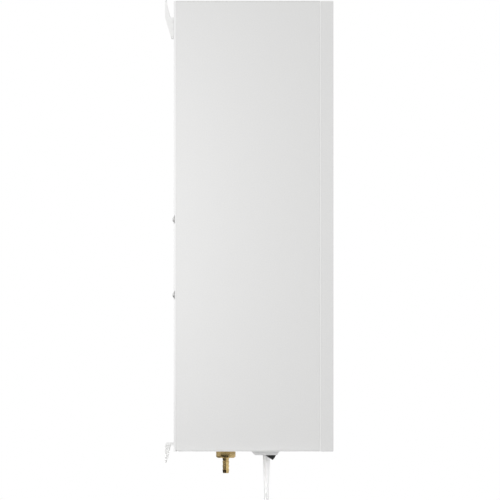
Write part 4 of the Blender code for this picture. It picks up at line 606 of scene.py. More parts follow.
braid = braid_finish()
window_glass = finish("smoked_window", (0.10, 0.105, 0.11), (0.13, 0.135, 0.14),
                      (0.04, 0.02), 500, 0.000004, 0.02, 0.06)
feed(window_glass.node_tree, shader_of(window_glass), {"Transmission Weight": 0.9, "IOR": 1.49})
digit_glow = finish("lit_digits", (0.60, 0.85, 0.95), (0.66, 0.90, 1.0), (0.30, 0.05), 800)
glow = {"Emission Color": colour_under(digit_glow), "Emission Strength": 1.6}
feed(digit_glow.node_tree, shader_of(digit_glow), glow)
print("braid, window and digits ready")

# %% Wire colours and small parts
def wire_finish(name, deep, pale):
    """Smooth soft insulation."""
    return finish(name, deep, pale, (0.36, 0.06), 1500, 0.00001, 0.05, 0.15)


brown_wire = wire_finish("brown_insulation", (0.085, 0.032, 0.015), (0.105, 0.040, 0.019))
blue_wire = wire_finish("blue_insulation", (0.020, 0.080, 0.300), (0.026, 0.100, 0.360))
green_wire = wire_finish("green_insulation", (0.050, 0.270, 0.060), (0.065, 0.320, 0.075))
black_wire = wire_finish("black_insulation", 0.020, 0.030)
red_wire = wire_finish("red_insulation", (0.420, 0.025, 0.020), (0.500, 0.032, 0.026))
relay_blue = finish("blue_relay_case", (0.030, 0.110, 0.300), (0.040, 0.135, 0.350),
                    (0.35, 0.06), 1300, 0.00002, 0.05)
coil_tape = finish("yellow_coil_tape", (0.620, 0.430, 0.060), (0.700, 0.500, 0.090),
                   (0.38, 0.06), 300, 0.00003, stretch=(1, 8, 1))
dial_white = finish("dial_face_paint", (0.84, 0.84, 0.83), (0.88, 0.88, 0.87),
                    (0.45, 0.05), 900, 0.00001, 0.03, 0.05)
dial_ink = finish("dial_ink", (0.015, 0.015, 0.016), (0.025, 0.025, 0.026), (0.5, 0.05), 900)
print("wires and small parts ready")

# %% [markdown]
# The casing is folded from sheet one millimetre thick, and a fold is never a sharp corner: its outside is a
# round of about the sheet's own thickness. So the folded panels are merged copies of their solids whose outer
# fold edges are picked by place and bevelled, which gives each edge the narrow band of shade of real sheet.

# %% Folded panels
FOLD = 0.0004
SEAM_CLOSED = 0.00025
LINE_DEPTH = 0.0007
CASING_TOP = CASING_FOOT + CASING_HEIGHT
BEND_LINES = ((0.0007, 0.0017), (CASING_HEIGHT - 0.0012, CASING_HEIGHT - 0.0008))


def on_plane(value, wanted, slack=0.00005):
    """Whether a measure is as good as the one wanted."""
    return abs(value - wanted) < slack


def slid(thing, shift, test):
    """Moves the faces that pass a test by a shift."""
    pick(thing, "FACE", test)
    bpy.ops.transform.translate(value=shift)
    return done(thing)


def side_panel(side, node):
    """A side panel: rounded folds in front and behind, and the pressed line along its top and bottom hem."""
    panel = dressed(node, 0)
    for place in (PANEL_FRONT, PANEL_REAR):
        bevel_edges(panel, FOLD, 4, lambda edge: all(
            on_plane(abs(corner.co.x), HALF_WIDTH) and on_plane(corner.co.y, place) for corner in edge.verts))
    slid(panel, (0, SEAM_CLOSED, 0), lambda face: face.calc_center_median().y > PANEL_REAR - FOLD)
    face_x = side * HALF_WIDTH
    for low, high in BEND_LINES:
        start, end = sorted((face_x - side * LINE_DEPTH, face_x + side * SHEET))
        cut_with(panel, box("groove", at(start, PANEL_FRONT - SHEET, low), at(end, PANEL_REAR + SHEET, high)))
    return hang(smooth(panel, 30), enamel, node)


left_panel = side_panel(-1, "left_side_panel")
side_panel(1, "right_side_panel")
print("side panels:", len(left_panel.data.polygons), "faces each")

# %% Front cover
COVER_FOLD = 0.0012
COVER_PLANES = ((0, -HALF_WIDTH), (0, HALF_WIDTH), (1, COVER_FRONT), (2, CASING_FOOT), (2, CASING_TOP))


def outer_edge(edge):
    """Whether an edge lies where two of the cover's outer planes meet."""
    return sum(all(on_plane(corner.co[axis], place) for corner in edge.verts) for axis, place in COVER_PLANES) >= 2


cover = smooth(bevel_edges(dressed("front_cover", 0), COVER_FOLD, 5, outer_edge), 30)
hang(cover, enamel, "front_cover")
print("front cover:", len(cover.data.polygons), "faces")

# %% [markdown]
# The cover closes on a strip of soft foam on each side. Pressed between two sheets, foam fills the whole seam
# and swells out to the panel's face, so from the side it is a fine pale line.

# %% Foam strips
PRESSED = 0.00025
STRIP_INSET = 0.0006
SWELLING = 0.0005
for side, node in ((-1, "cover_seal_left"), (1, "cover_seal_right")):
    strip = dressed(node, 0)
    outer = HALF_WIDTH - STRIP_INSET
    slid(strip, (side * SWELLING, 0, 0), lambda face: on_plane(abs(face.calc_center_median().x), outer))
    for facing in (-1, 1):
        slid(strip, (0, facing * PRESSED, 0), lambda face: face.normal.y * facing > 0.9)
    hang(softened(strip, 0.0002), foam, node)
print("foam strips close the seams")

# %% [markdown]
# Two brackets hold the boiler: a rail whose toothed hook grips the back plate, and an angle below. The hook's
# teeth are shallow notches pressed in its two ends, whose floor is a narrower core between them. Both brackets
# have screw holes that are drilled with Boolean cutters.

# %% Wall brackets
NOTCHED = 0.1494
TEETH = (0.6447, 0.6695)
HOOK_FACE = -0.0135
NOTCH_FLOOR = -0.0102
HOLE = 0.0035
DRILL = ((HOLE, 0), (HOLE, 0.004), (HOLE * 1.9, 0.0095))
rail = dressed("upper_wall_bracket", 0)
core = box("hook_core", at(-NOTCHED, HOOK_FACE, TEETH[0]), at(NOTCHED, NOTCH_FLOOR, TEETH[1]))
rail = joined("upper_wall_bracket_piece", rail, core)
angle_bracket = dressed("lower_wall_bracket", 0)
for bracket, node, xs, height in (
    (rail, "upper_wall_bracket", (-0.11, 0.0, 0.11), 0.7085),
    (angle_bracket, "lower_wall_bracket", (-0.09, 0.09), -0.0105),
):
    drills = repeated(turned("drill", DRILL, axis=ROOMWARD, steps=40), *(at(x, SHEET, height) for x in xs))
    cut_with(bracket, *drills)
    hang(softened(bracket, 0.00025), bracket_paint, node)
print("brackets have", len(rail.data.polygons), "and", len(angle_bracket.data.polygons), "faces")

# %% [markdown]
# Screws are the fasteners a reader sees most. A pan head is a turned dome with a cross recess: the dome comes
# from a disc that is extruded ring by ring, and two crossing slots are then cut into it with a Boolean. The four
# screws at the back are copies of one.

# %% A pan-head screw
CROWN_ANGLE = 84
DOME_RINGS = 6
SHANK_SHARE = 0.43
SLOT_SHARES = (0.56, 0.12)
SLOT_DEPTHS = (0.42, 1.2)


def dome(radius, height):
    """The (radius, distance) steps of a rounded head, from its edge to a small flat on its crown."""
    angles = [math.radians(CROWN_ANGLE) * ring / DOME_RINGS for ring in range(DOME_RINGS + 1)]
    return [(radius * math.cos(angle), height * math.sin(angle)) for angle in angles]


def screw(name, axis, radius, height, rim=0.0008, shank=0.0):
    """A domed head that stands out from the origin along an axis, with a shank behind it."""
    behind = [(radius * SHANK_SHARE, -shank), (radius * SHANK_SHARE, 0)] if shank else []
    head = turned(name, (*behind, (radius, 0), (radius, rim), *dome(radius, height - rim)[1:]), steps=40)
    long, short = (radius * share for share in SLOT_SHARES)
    floor, top = (height * share for share in SLOT_DEPTHS)
    cut_with(head, *(box("slot", (-x, -y, floor), (x, y, top)) for x, y in ((long, short), (short, long))))
    return smooth(aimed(head, ORIGIN, axis), 40)


SCREW_X = 0.193
SCREW_HEIGHTS = (("lower", 0.2431), ("upper", 0.3604))
SCREW_FLOOR = -0.0154
SCREW_SIZES = (0.00465, 0.005, 0.0012, 0.008)

places = {
    f"rear_screw_{name}_{level}": at(side * SCREW_X, SCREW_FLOOR, height)
    for side, name in ((-1, "left"), (1, "right")) for level, height in SCREW_HEIGHTS
}
for node, rear_screw in zip(places, repeated(screw("rear_screw", WALLWARD, *SCREW_SIZES), *places.values())):
    rear_screw.name = node + "_piece"
    hang(rear_screw, screw_steel, node)
print("rear screws:", len(rear_screw.data.polygons), "faces each")

# %% [markdown]
# The brass drain fitting has a hexagon nut whose corners are turned off underneath, and a tail with four barbs
# that let a hose slide on but not off. The nut is a six-sided bar of which only what lies inside a wide cone is
# kept, as on a lathe. The tail is turned from its bore outwards.

# %% Brass drain fitting
BARB_X = -0.150
NUT_ACROSS = 0.0262
NUT_TOP = -0.0003
NUT_FOOT = -0.0104
NUT_CHAMFER = 0.0022
HEX_SIDES = 6
CONE_SHARES = (0.97, 1.02)
BARB_TOP = -0.0093
BARB_PITCH = 0.0062
BARB_COUNT = 4
BARB_CREST = 0.00535
BARB_ROOT = 0.0045
BARB_BORE = 0.0028
BARB_LEDGE = 0.0003
SPIGOT_RADIUS = 0.006
SPIGOT_TOP = 0.022
SEEN_DEPTH = 0.012


def hex_nut(name, across, chamfer, foot, top, x, y, both=False):
    """A hexagon nut round a vertical axis, its corners turned off below and, if asked, above."""
    corner = across / math.sqrt(3)
    high = top - foot
    bar = turned(name, ((corner, 0), (corner, high)), at(x, y, foot), steps=HEX_SIDES)
    flat, wide = across / 2 * CONE_SHARES[0], corner * CONE_SHARES[1]
    profile = [(flat, 0), (wide, chamfer)]
    profile += [(wide, high - chamfer), (flat, high)] if both else [(wide, high)]
    return cut_with(bar, turned("cone", profile, at(x, y, foot), steps=72), operation="INTERSECT")


nut = hex_nut("drain_nut", NUT_ACROSS, NUT_CHAMFER, NUT_FOOT, NUT_TOP, BARB_X, STUB_Y)
tail_end = BARB_TOP - BARB_COUNT * BARB_PITCH
profile = [(BARB_BORE, tail_end + SEEN_DEPTH), (BARB_BORE, tail_end), (BARB_ROOT, tail_end)]
for barb in reversed(range(BARB_COUNT)):
    crest = BARB_TOP - barb * BARB_PITCH
    profile += [(BARB_CREST, crest - BARB_LEDGE), (BARB_ROOT, crest)]
profile += [(SPIGOT_RADIUS, BARB_TOP), (SPIGOT_RADIUS, SPIGOT_TOP)]
tail = turned("drain_tail", profile, at(BARB_X, STUB_Y, 0), steps=64)
drain = softened(cut_with(nut, tail, operation="UNION"), 0.00025, 2, 25)
drain.name = "hose_barb_piece"
hang(drain, brass, "hose_barb")
print("drain fitting:", len(drain.data.polygons), "faces, box", [round(side * 1000, 1) for side in drain.dimensions])

# %% [markdown]
# The lead leaves through a strain relief: a soft taper with two rings, moulded onto the sheath. A profile turned
# in 64 steps gives it its round section, and its inner end is a bent tube that runs up to the terminal block.
# A tube is a line of points given a round section, with each corner replaced by an arc.

# %% Bent tubes
def bend_between(start, pull, stop, shares):
    """Points on a bend from start to stop, pulled towards a corner."""
    return [(1 - t) ** 2 * start + 2 * t * (1 - t) * pull + t**2 * stop for t in shares]


def rounded_line(corners, bend, steps=8):
    """Points through straight runs, with an arc of the same radius at each corner."""
    corners = [Vector(corner) for corner in corners]
    line = [corners[0]]
    for before, corner, after in zip(corners, corners[1:], corners[2:]):
        into, out = (corner - before).normalized(), (after - corner).normalized()
        half = into.angle(out) / 2
        reach = min(bend * math.tan(half), (corner - before).length / 2, (after - corner).length / 2)
        shares = [step / steps for step in range(steps + 1)]
        line += bend_between(corner - into * reach, corner, corner + out * reach, shares)
    line.append(corners[-1])
    return line


def curve_along(name, points, resolution, depth=1.0, radius=1.0):
    """A round curve through points, with closed ends."""
    data = bpy.data.curves.new(name, "CURVE")
    data.dimensions = "3D"
    data.bevel_depth = depth
    data.bevel_resolution = resolution
    data.use_fill_caps = True
    line = data.splines.new("POLY")
    line.points.add(len(points) - 1)
    for point, spot in zip(line.points, points):
        point.co = (*spot, 1)
        point.radius = radius
    made = bpy.data.objects.new(name, data)
    bpy.context.scene.collection.objects.link(made)
    return made


def tube(name, points, radius, sides):
    """A round tube along points, as a mesh with closed ends."""
    alone(curve_along(name, points, sides, radius))
    bpy.ops.object.convert(target="MESH")
    edit(bpy.context.object)
    facing_out(WELD / 10)
    return smooth(bpy.context.object, 40)


print("tube helper ready")

# %% Strain relief
RELIEF_TOP = -0.0062
RELIEF_LENGTH = 0.0445
RELIEF_RADII = (0.0056, 0.0039)
RING_DOWNS = (0.0055, 0.0086)
RING_WIDTH = 0.0012
RING_RISE = 0.0004
RING_EDGE = 0.0003
NECK_RADIUS = 0.0044
NECK_TOP = 0.020
LIP = 0.0006
INNER_LEAD = ((LEAD_X, LEAD_Y, 0.010), (LEAD_X, LEAD_Y, 0.045), (LEAD_X, -0.0324, 0.045),
              (-0.095, -0.0324, 0.045), (-0.095, -0.0324, 0.1277))
INNER_BEND = 0.015


def on_relief(down, rise=0, edge=0):
    """A step of the profile so far below the relief's top, with the rise and the edge of a ring."""
    radius = RELIEF_RADII[0] + (RELIEF_RADII[1] - RELIEF_RADII[0]) * down / RELIEF_LENGTH
    return radius + rise, RELIEF_TOP - down + edge


profile = [(NECK_RADIUS, NECK_TOP), (NECK_RADIUS, RELIEF_TOP), (RELIEF_RADII[0], RELIEF_TOP)]
for down in RING_DOWNS:
    low = down + RING_WIDTH
    profile += [on_relief(down), on_relief(down, RING_RISE, -RING_EDGE), on_relief(low, RING_RISE, RING_EDGE),
                on_relief(low)]
profile += [(RELIEF_RADII[1], RELIEF_TOP - RELIEF_LENGTH), (RELIEF_RADII[1], RELIEF_TOP - RELIEF_LENGTH - LIP)]
relief = softened(turned("relief_taper", profile, at(LEAD_X, LEAD_Y, 0), steps=64), 0.00012, 2, 25)
inner = tube("relief_inner", rounded_line([at(*corner) for corner in INNER_LEAD], INNER_BEND), LEAD_RADIUS, 6)
hang(joined("strain_relief_piece", relief, inner), lead_skin, "strain_relief")
print("strain relief hangs", round((RELIEF_LENGTH - RELIEF_TOP) * 1000, 1), "mm below the casing")

# %% [markdown]
# On the far end of the lead is a round plug. Its neck has moulded rings that let it flex, its body has a
# shoulder and a grip band of shallow flutes, and its two pins are round metal. The band's flutes are made by
# picking every other face round the body and sinking it.

# %% Mains plug
NECK_CORE = 0.0046
NECK_RING = 0.0058
NECK_RINGS = 4
RING_START = 0.0028
RING_PITCH = 0.0031
RING_PROFILE = ((NECK_CORE, 0), (NECK_RING, 0.0003), (NECK_RING, 0.0015), (NECK_CORE, 0.0018))
NECK_LENGTH = 0.016
PLUG_RADIUS = 0.0185
PLUG_BODY = 0.030
SHOULDER_DEPTH = 0.010
BAND_END = 0.0060
PLUG_EDGE = 0.0008
PLUG_STEPS = 72
PIN_RADIUS = 0.0024
PIN_LENGTH = 0.019
PIN_HALF = 0.0095
plug_x, plug_y, _ = lead_route[-1]
plug_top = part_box("mains_plug")[1][2] - CASING_FOOT
length = NECK_LENGTH + PLUG_BODY
shoulder = NECK_LENGTH + SHOULDER_DEPTH
profile = [(LEAD_RADIUS + 0.0001, 0), (NECK_CORE, 0)]
for ring in range(NECK_RINGS):
    profile += [(radius, -(RING_START + ring * RING_PITCH) - down) for radius, down in RING_PROFILE]
profile += [(0.0052, -NECK_LENGTH), (0.0105, -NECK_LENGTH - 0.0018), (0.0150, -NECK_LENGTH - 0.0048),
            (0.0176, -shoulder + 0.0010), (PLUG_RADIUS, -shoulder - 0.0010), (PLUG_RADIUS, -length + BAND_END),
            (PLUG_RADIUS, -length + PLUG_EDGE), (PLUG_RADIUS - PLUG_EDGE, -length)]
plug = turned("mains_plug_piece", profile, at(plug_x, plug_y, plug_top), steps=PLUG_STEPS)
band_low, band_high = plug_top - length + BAND_END + CASING_FOOT, plug_top - shoulder + CASING_FOOT


def on_flute(face):
    """Every other face of the straight grip band."""
    middle = face.calc_center_median()
    angle = math.atan2(middle.y - plug_y, middle.x - plug_x)
    place = round(angle / (2 * math.pi) * PLUG_STEPS - 0.5)
    return band_low < middle.z < band_high and abs(face.normal.z) < 0.05 and place % 2 == 0


sink(plug, on_flute, 0.00012, 0.0005)
hang(softened(plug, 0.0002, 2, 32), white_plastic, "mains_plug")
pin_end = plug_top - length - PIN_LENGTH
pin_profile = ((PIN_RADIUS * 0.55, 0), (PIN_RADIUS, 0.0016), (PIN_RADIUS, PIN_LENGTH))
pin_places = [at(plug_x, plug_y + side * PIN_HALF, pin_end) for side in (-1, 1)]
pins = repeated(smooth(turned("pin", pin_profile, steps=32), 50), *pin_places)
gathered("mains_plug_pins", screw_steel, *pins)
print("plug is", round((plug_top - pin_end) * 1000, 1), "mm long")

# %% [markdown]
# The spare length is held in its coil by a black hook-and-loop strap. The solid of the frame already wraps the
# loops closely, so a welded copy of it with soft edges is enough.

# %% Coil tie
tie = hang(dressed("coil_tie", 0.0005, 3), rubber, "coil_tie", slot="black_plastic")
print("tie:", [round(side * 1000, 1) for side in tie.dimensions], "mm")

# %% [markdown]
# The lead's centre line now becomes a curve with a round section, and it stays a curve.

# %% The lead as one open curve
lead = curve_along("mains_lead_cord", lead_route, 6, radius=LEAD_RADIUS)
lead.data.splines[0].use_smooth = True
hang(lead, lead_skin, "mains_lead", "lead_coil")
print("cord declared,", len(lead_route), "points")

# %% [markdown]
# The control panel sits flush with the front cover: a white housing, a smoked window with a lit display behind
# it, and four keys. One key is turned, with a soft edge and a flange that keeps it in the housing, and copied.
# Each copy's sign is sunk into its face with a Boolean and filled with ink, because print on a key wears away.

# %% Painting a part of a piece
def paint_part(thing, surface, test):
    """Gives the faces that pass a test another finish."""
    thing.data.materials.append(surface)
    place = len(thing.data.materials) - 1
    for face in thing.data.polygons:
        if test(face):
            face.material_index = place


print("part painting ready")

# %% Keys
KEY_HEIGHT = 0.404
KEY_RADIUS = 0.0065
FLANGE_RADIUS = 0.0085
FLANGE_FRONT = 0.0023
FLANGE_REAR = 0.0038
PLUNGER_RADIUS = 0.003
PLUNGER_END = 0.0107
KEY_PROFILE = (
    (KEY_RADIUS - 0.0012, 0.0), (KEY_RADIUS - 0.0005, 0.00015), (KEY_RADIUS - 0.0001, 0.0006), (KEY_RADIUS, 0.0012),
    (KEY_RADIUS, FLANGE_FRONT), (FLANGE_RADIUS, FLANGE_FRONT), (FLANGE_RADIUS, FLANGE_REAR),
    (PLUNGER_RADIUS, FLANGE_REAR), (PLUNGER_RADIUS, PLUNGER_END),
)
SIGN_DEPTH = 0.0003
BAR = 0.0005
REACH = 0.0027
INNER = REACH - 2 * BAR
LEVEL_BAR = (-REACH, -BAR, REACH, BAR)
KEYS = (
    ("menu", -0.045, [(-REACH, row - BAR, REACH, row + BAR) for row in (-0.0019, 0, 0.0019)]),
    ("down", -0.015, [LEVEL_BAR]),
    ("up", 0.015, [LEVEL_BAR, (-BAR, -REACH, BAR, REACH)]),
    ("confirm", 0.045, [(-REACH, -REACH, REACH, -INNER), (-REACH, INNER, REACH, REACH),
                        (-REACH, -REACH, -INNER, REACH), (INNER, -REACH, REACH, REACH)]),
)
keys = repeated(turned("key", KEY_PROFILE, axis=WALLWARD, steps=56),
                *(at(x, COVER_FRONT, KEY_HEIGHT) for _, x, _ in KEYS))
for key, (name, x, bars) in zip(keys, KEYS):
    key.name = f"{name}_button_piece"
    for left, low, right, high in bars:
        start = at(x + left, COVER_FRONT - SHEET, KEY_HEIGHT + low)
        cut_with(key, box("sign", start, at(x + right, COVER_FRONT + SIGN_DEPTH, KEY_HEIGHT + high)))
    hang(smooth(key, 35), grey_plastic, f"{name}_button")
    paint_part(key, dial_ink, lambda face: on_plane(face.center.y, COVER_FRONT + SIGN_DEPTH, 0.00002))
print("four keys, each", len(key.data.polygons), "faces")

# %% [markdown]
# The display is a black module on the circuit board with seven-segment digits. Each lit bar is a box with soft
# edges, and two small tables say which bars a sign has and where they are.

# %% Display digits
MODULE_FRONT = -0.2582
BOARD_FRONT = -0.2499
BOARD_REAR = -0.2483
DIGIT_HEIGHT = 0.020
DIGIT_WIDTH = 0.0105
STROKE = 0.0020
GAP_SHARE = 0.6
BAR_PROUD = 0.0004
BAR_SUNK = 0.0002
LIT = {"6": "acdefg", "0": "abcdef", "c": "adef"}
SPOTS = {"a": (0, 1, 0), "b": (0.5, 0.5, 1), "c": (0.5, -0.5, 1), "d": (0, -1, 0), "e": (-0.5, -0.5, 1),
         "f": (-0.5, 0.5, 1), "g": (0, 0, 0)}


def front_box(name, x, height, wide, tall, *ys):
    """A box by its middle and its size as seen from the front, between two distances from the wall."""
    near, far = sorted(ys)
    return box(name, at(x - wide / 2, near, height - tall / 2), at(x + wide / 2, far, height + tall / 2))


def digit(sign, x, height, size=1.0):
    """The lit bars of one digit, standing just proud of the module."""
    bars = []
    for letter in LIT[sign]:
        across, up, standing = SPOTS[letter]
        long = (DIGIT_HEIGHT / 2 if standing else DIGIT_WIDTH) * size - STROKE * size * GAP_SHARE
        wide, tall = (STROKE * size, long) if standing else (long, STROKE * size)
        bars.append(front_box("bar", x + across * DIGIT_WIDTH * size, height + up * DIGIT_HEIGHT / 2 * size,
                              wide, tall, MODULE_FRONT - BAR_PROUD, MODULE_FRONT + BAR_SUNK))
    return bars


def faces_room(face):
    """Whether a face looks into the room."""
    return face.normal.y < -0.9


DISPLAY_SIGNS = (("6", -0.012, 0.440), ("0", 0.004, 0.440), ("c", 0.0185, 0.445, 0.45))
module = box("display_module", at(-0.0405, MODULE_FRONT, 0.4198), at(0.0405, BOARD_FRONT, 0.4602))
hang(softened(sink(module, faces_room, 0.0015, 0.0003), 0.0004), black_plastic)
bars = [bar for sign in DISPLAY_SIGNS for bar in digit(*sign)]
digits = gathered("display_digits", digit_glow, *bars, width=0.00015)
print("display digits:", len(digits.data.polygons), "faces")

# %% Window and housing
pane = box("display_window_piece", at(-0.0427, -0.2616, 0.4193), at(0.0427, -0.2601, 0.4607))
hang(softened(pane, 0.0004, 3), window_glass, "display_window")
hang(dressed("control_housing", 0.0006, 3), white_plastic, "control_housing")
hang(dressed("display_board", 0.0002), board_green, "display_board")
CHIP_DEPTH = 0.0018
CHIPS = ((-0.070, 0.445, 0.012, 0.012), (-0.068, 0.420, 0.008, 0.014), (0.068, 0.440, 0.014, 0.010))
chips = [front_box("chip", *chip, *ys) for chip in CHIPS
         for ys in ((BOARD_FRONT, BOARD_FRONT - CHIP_DEPTH), (BOARD_REAR, BOARD_REAR + CHIP_DEPTH))]
gathered("display_chips", black_plastic, *chips, width=0.0002)
print("window, housing and board in place")

# %% [markdown]
# Behind the cover are pressed and spun parts: the two halves of the expansion vessel, and the heating tank with
# its drawn ends. Their walls are thin, so a closed outline of the wall itself is spun right round the axis.

# %% Spun walls
def curve_between(start, pull, stop, steps=8):
    """The (radius, distance) points of a bend, without its two ends."""
    return list(zip(*(bend_between(*ends, [step / steps for step in range(1, steps)])
                      for ends in zip(start, pull, stop))))


def spun(name, outline, start=ORIGIN, axis=UP, steps=96):
    """A closed outline of (radius, distance) spun into a wall. A circle's corners are moved onto the outline."""
    bpy.ops.mesh.primitive_circle_add(vertices=len(outline), fill_type="NOTHING")
    thing = bpy.context.object
    thing.name = name
    for corner, (radius, along) in zip(thing.data.vertices, outline):
        corner.co = (radius, 0, along)
    edit(thing)
    bpy.ops.mesh.spin(steps=steps, angle=2 * math.pi, center=(0, 0, 0), axis=UP)
    facing_out(WELD)
    return smooth(aimed(thing, start, axis), 30)


def band(inner, outer, low, high):
    """The outline of a ring with a square section."""
    return [(inner, low), (outer, low), (outer, high), (inner, high)]


print("spun walls ready")

# %% Expansion vessel
VESSEL_X = -0.046
VESSEL_LEVEL = 0.520
VESSEL_RADIUS = 0.148
VESSEL_RIM = 0.004
VESSEL_DEEP = 0.036
VESSEL_WALL = 0.002
SHOULDER = 0.110
REAR_RIM = -0.0516
FRONT_RIM = -0.0542
CENTRE_HOLE = 0.0004
PORT_Y = -0.0902
HOSE_RADIUS = 0.005
CLAMP_GAP = 0.0002
outer = (VESSEL_RADIUS, VESSEL_DEEP / 3), (VESSEL_RADIUS - 0.004, VESSEL_DEEP - 0.002), (SHOULDER, VESSEL_DEEP)
inner = [(radius - VESSEL_WALL * 0.8, max(along - VESSEL_WALL, 0)) for radius, along in outer]
rim_out = VESSEL_RADIUS + VESSEL_RIM
dish = [
    (CENTRE_HOLE, VESSEL_DEEP), (SHOULDER * 0.5, VESSEL_DEEP), outer[2], *reversed(curve_between(*outer)), outer[0],
    (VESSEL_RADIUS, VESSEL_WALL), (rim_out, VESSEL_WALL), (rim_out, 0), (VESSEL_RADIUS - VESSEL_WALL, 0), inner[0],
    *curve_between(*inner), inner[2], (CENTRE_HOLE, VESSEL_DEEP - VESSEL_WALL),
]
port_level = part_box("vessel_hose")[1][2] - CASING_FOOT - HOSE_RADIUS
rear_shell, front_shell = (
    spun(f"vessel_{end}_shell_piece", dish, at(VESSEL_X, rim, VESSEL_LEVEL), way)
    for end, rim, way in (("rear", REAR_RIM, WALLWARD), ("front", FRONT_RIM, ROOMWARD))
)
port = hex_nut("port", 0.0135, 0.001, -CASING_FOOT, 0.004 - CASING_FOOT, 0, 0)
port = smooth(aimed(port, at(VESSEL_X, PORT_Y, port_level), ROOMWARD), 30)
front_shell = joined("vessel_front_shell_piece", front_shell, port)
hang(rear_shell, red_paint, "vessel_rear_shell")
hang(front_shell, red_paint, "vessel_front_shell")
clamp = band(VESSEL_RADIUS + CLAMP_GAP, rim_out - CLAMP_GAP, -0.0016, -0.0003)
clamp_place = at(VESSEL_X, FRONT_RIM - VESSEL_WALL - 0.0018, VESSEL_LEVEL)
hang(spun("vessel_clamp_ring", clamp, clamp_place, WALLWARD), red_paint)
print("vessel shell:", len(front_shell.data.polygons), "faces")

# %% Heating tank
TANK_X, TANK_Y = 0.130, -0.150
TANK_LOW, TANK_HIGH = 0.300, 0.550
TANK_RADIUS = 0.055
WALL = 0.002
PORT = 0.0113
DISH = 0.018
NECK = 0.034
NECK_TOP_EDGE = 0.010
NECK_FLANGE = 0.045
FLANGE_SHEET = 0.004
TANK_PORT_LEVEL = 0.510
WELD_LEVELS = (0.321, 0.529)
tall = TANK_HIGH - TANK_LOW
foot_out = (0.033, 0), (TANK_RADIUS, 0.0), (TANK_RADIUS, DISH)
foot_in = (TANK_RADIUS - WALL, DISH + WALL), (TANK_RADIUS - WALL, WALL), (0.031, WALL)
head_out = (TANK_RADIUS, tall - DISH), (TANK_RADIUS - 0.002, tall - 0.004), (NECK + WALL, tall)
head_in = (NECK, tall - WALL), (TANK_RADIUS - 2 * WALL, tall - 0.006), (TANK_RADIUS - WALL, tall - DISH - WALL)
neck_top = tall + NECK_TOP_EDGE
wall = [
    (PORT, 0), foot_out[0], *curve_between(*foot_out), foot_out[2], (TANK_RADIUS, tall * 0.5), head_out[0],
    *curve_between(*head_out), head_out[2], (NECK + WALL, neck_top - FLANGE_SHEET),
    (NECK_FLANGE, neck_top - FLANGE_SHEET), (NECK_FLANGE, neck_top), (NECK, neck_top), head_in[0],
    *curve_between(*head_in), head_in[2], foot_in[0], *curve_between(*foot_in), foot_in[2], (PORT, WALL),
]
tank = spun("heating_tank_piece", wall, at(TANK_X, TANK_Y, TANK_LOW))
hole = turned("hole", ((PORT, 0), (PORT, 0.06)), at(TANK_X, TANK_Y + 0.025, TANK_PORT_LEVEL), WALLWARD)
hang(smooth(cut_with(tank, hole), 30), stainless, "heating_tank")
bead = [(TANK_RADIUS - 0.0004, -0.0016), (TANK_RADIUS + 0.0002, -0.0012), (TANK_RADIUS + 0.0002, 0.0012),
        (TANK_RADIUS - 0.0004, 0.0016)]
welds = repeated(spun("weld", bead), *(at(TANK_X, TANK_Y, level) for level in WELD_LEVELS))
gathered("tank_weld_beads", stainless, *welds)
print("tank:", len(tank.data.polygons), "faces")

# %% [markdown]
# The element flange is held by six hexagon screws, each cut at its own place, and each element's end carries a
# ceramic bead and a push-on terminal. Pipes meet the pump, the tank and the manifold in brass union nuts. The
# helper that made the drain fitting's nut makes the screws and these nuts too, these with both ends turned off.

# %% Flange screws and element ends
FLANGE_TOP = 0.5726
FLANGE_SCREWS = 0.0385
ELEMENT_XS = (0.116, 0.144)
ELEMENT_YS = (-0.138, -0.162)
ELEMENT_TOP = 0.5906
BEAD_LEVEL = 0.5786
BEAD_PROFILE = ((0.0042, 0), (0.0055, 0.0008), (0.0055, 0.0045), (0.0043, 0.0055))


def ring_of_six(radius):
    """Six places evenly round a circle, the first at 30 degrees."""
    angles = [math.radians(60 * turn + 30) for turn in range(6)]
    return [(radius * math.cos(angle), radius * math.sin(angle)) for angle in angles]


hang(dressed("element_flange", 0.0006), stainless, "element_flange")
heads = [hex_nut("flange_screw", 0.008, 0.0008, FLANGE_TOP - 0.0003, FLANGE_TOP + 0.0038, TANK_X + x, TANK_Y + y)
         for x, y in ring_of_six(FLANGE_SCREWS)]
gathered("flange_screws", screw_steel, *heads, width=0.0002)
element_ends = [(x, y) for y in ELEMENT_YS for x in ELEMENT_XS]
beads = repeated(turned("bead", BEAD_PROFILE, steps=32), *(at(x, y, BEAD_LEVEL) for x, y in element_ends))
gathered("element_beads", white_plastic, *beads, degrees=35)
tip = box("tip", (-0.0032, -0.0004, 0), (0.0032, 0.0004, 0.008))
tips = repeated(tip, *(at(x, y, ELEMENT_TOP) for x, y in element_ends))
gathered("element_tips", brass, *tips, width=0.0002)
for name in ("heating_element_rear", "heating_element_front"):
    hang(dressed(name, 0), stainless, name)
print("flange screws and element ends ready")

# %% Union nuts
PUMP_X, PUMP_LEVEL = 0.060, 0.175
UNIONS = (
    ("pump_foot_nut", 0.036, 0.1108, 0.1245, PUMP_X, STUB_Y),
    ("pump_head_nut", 0.036, 0.2255, 0.2450, PUMP_X, STUB_Y),
    ("tank_foot_nut", 0.030, 0.2850, 0.2992, TANK_X, TANK_Y),
    ("return_foot_nut", 0.030, 0.0440, 0.0592, PUMP_X, STUB_Y),
)
for name, across, low, high, x, y in UNIONS:
    hang(softened(hex_nut(name, across, 0.0014, low, high, x, y, True), 0.0004), brass)
print(len(UNIONS), "union nuts")

# %% [markdown]
# The pump is a coated iron volute with a green motor can. The can gets a black terminal box with a rounded lid
# and a cable, and six cap screws hold its flange.

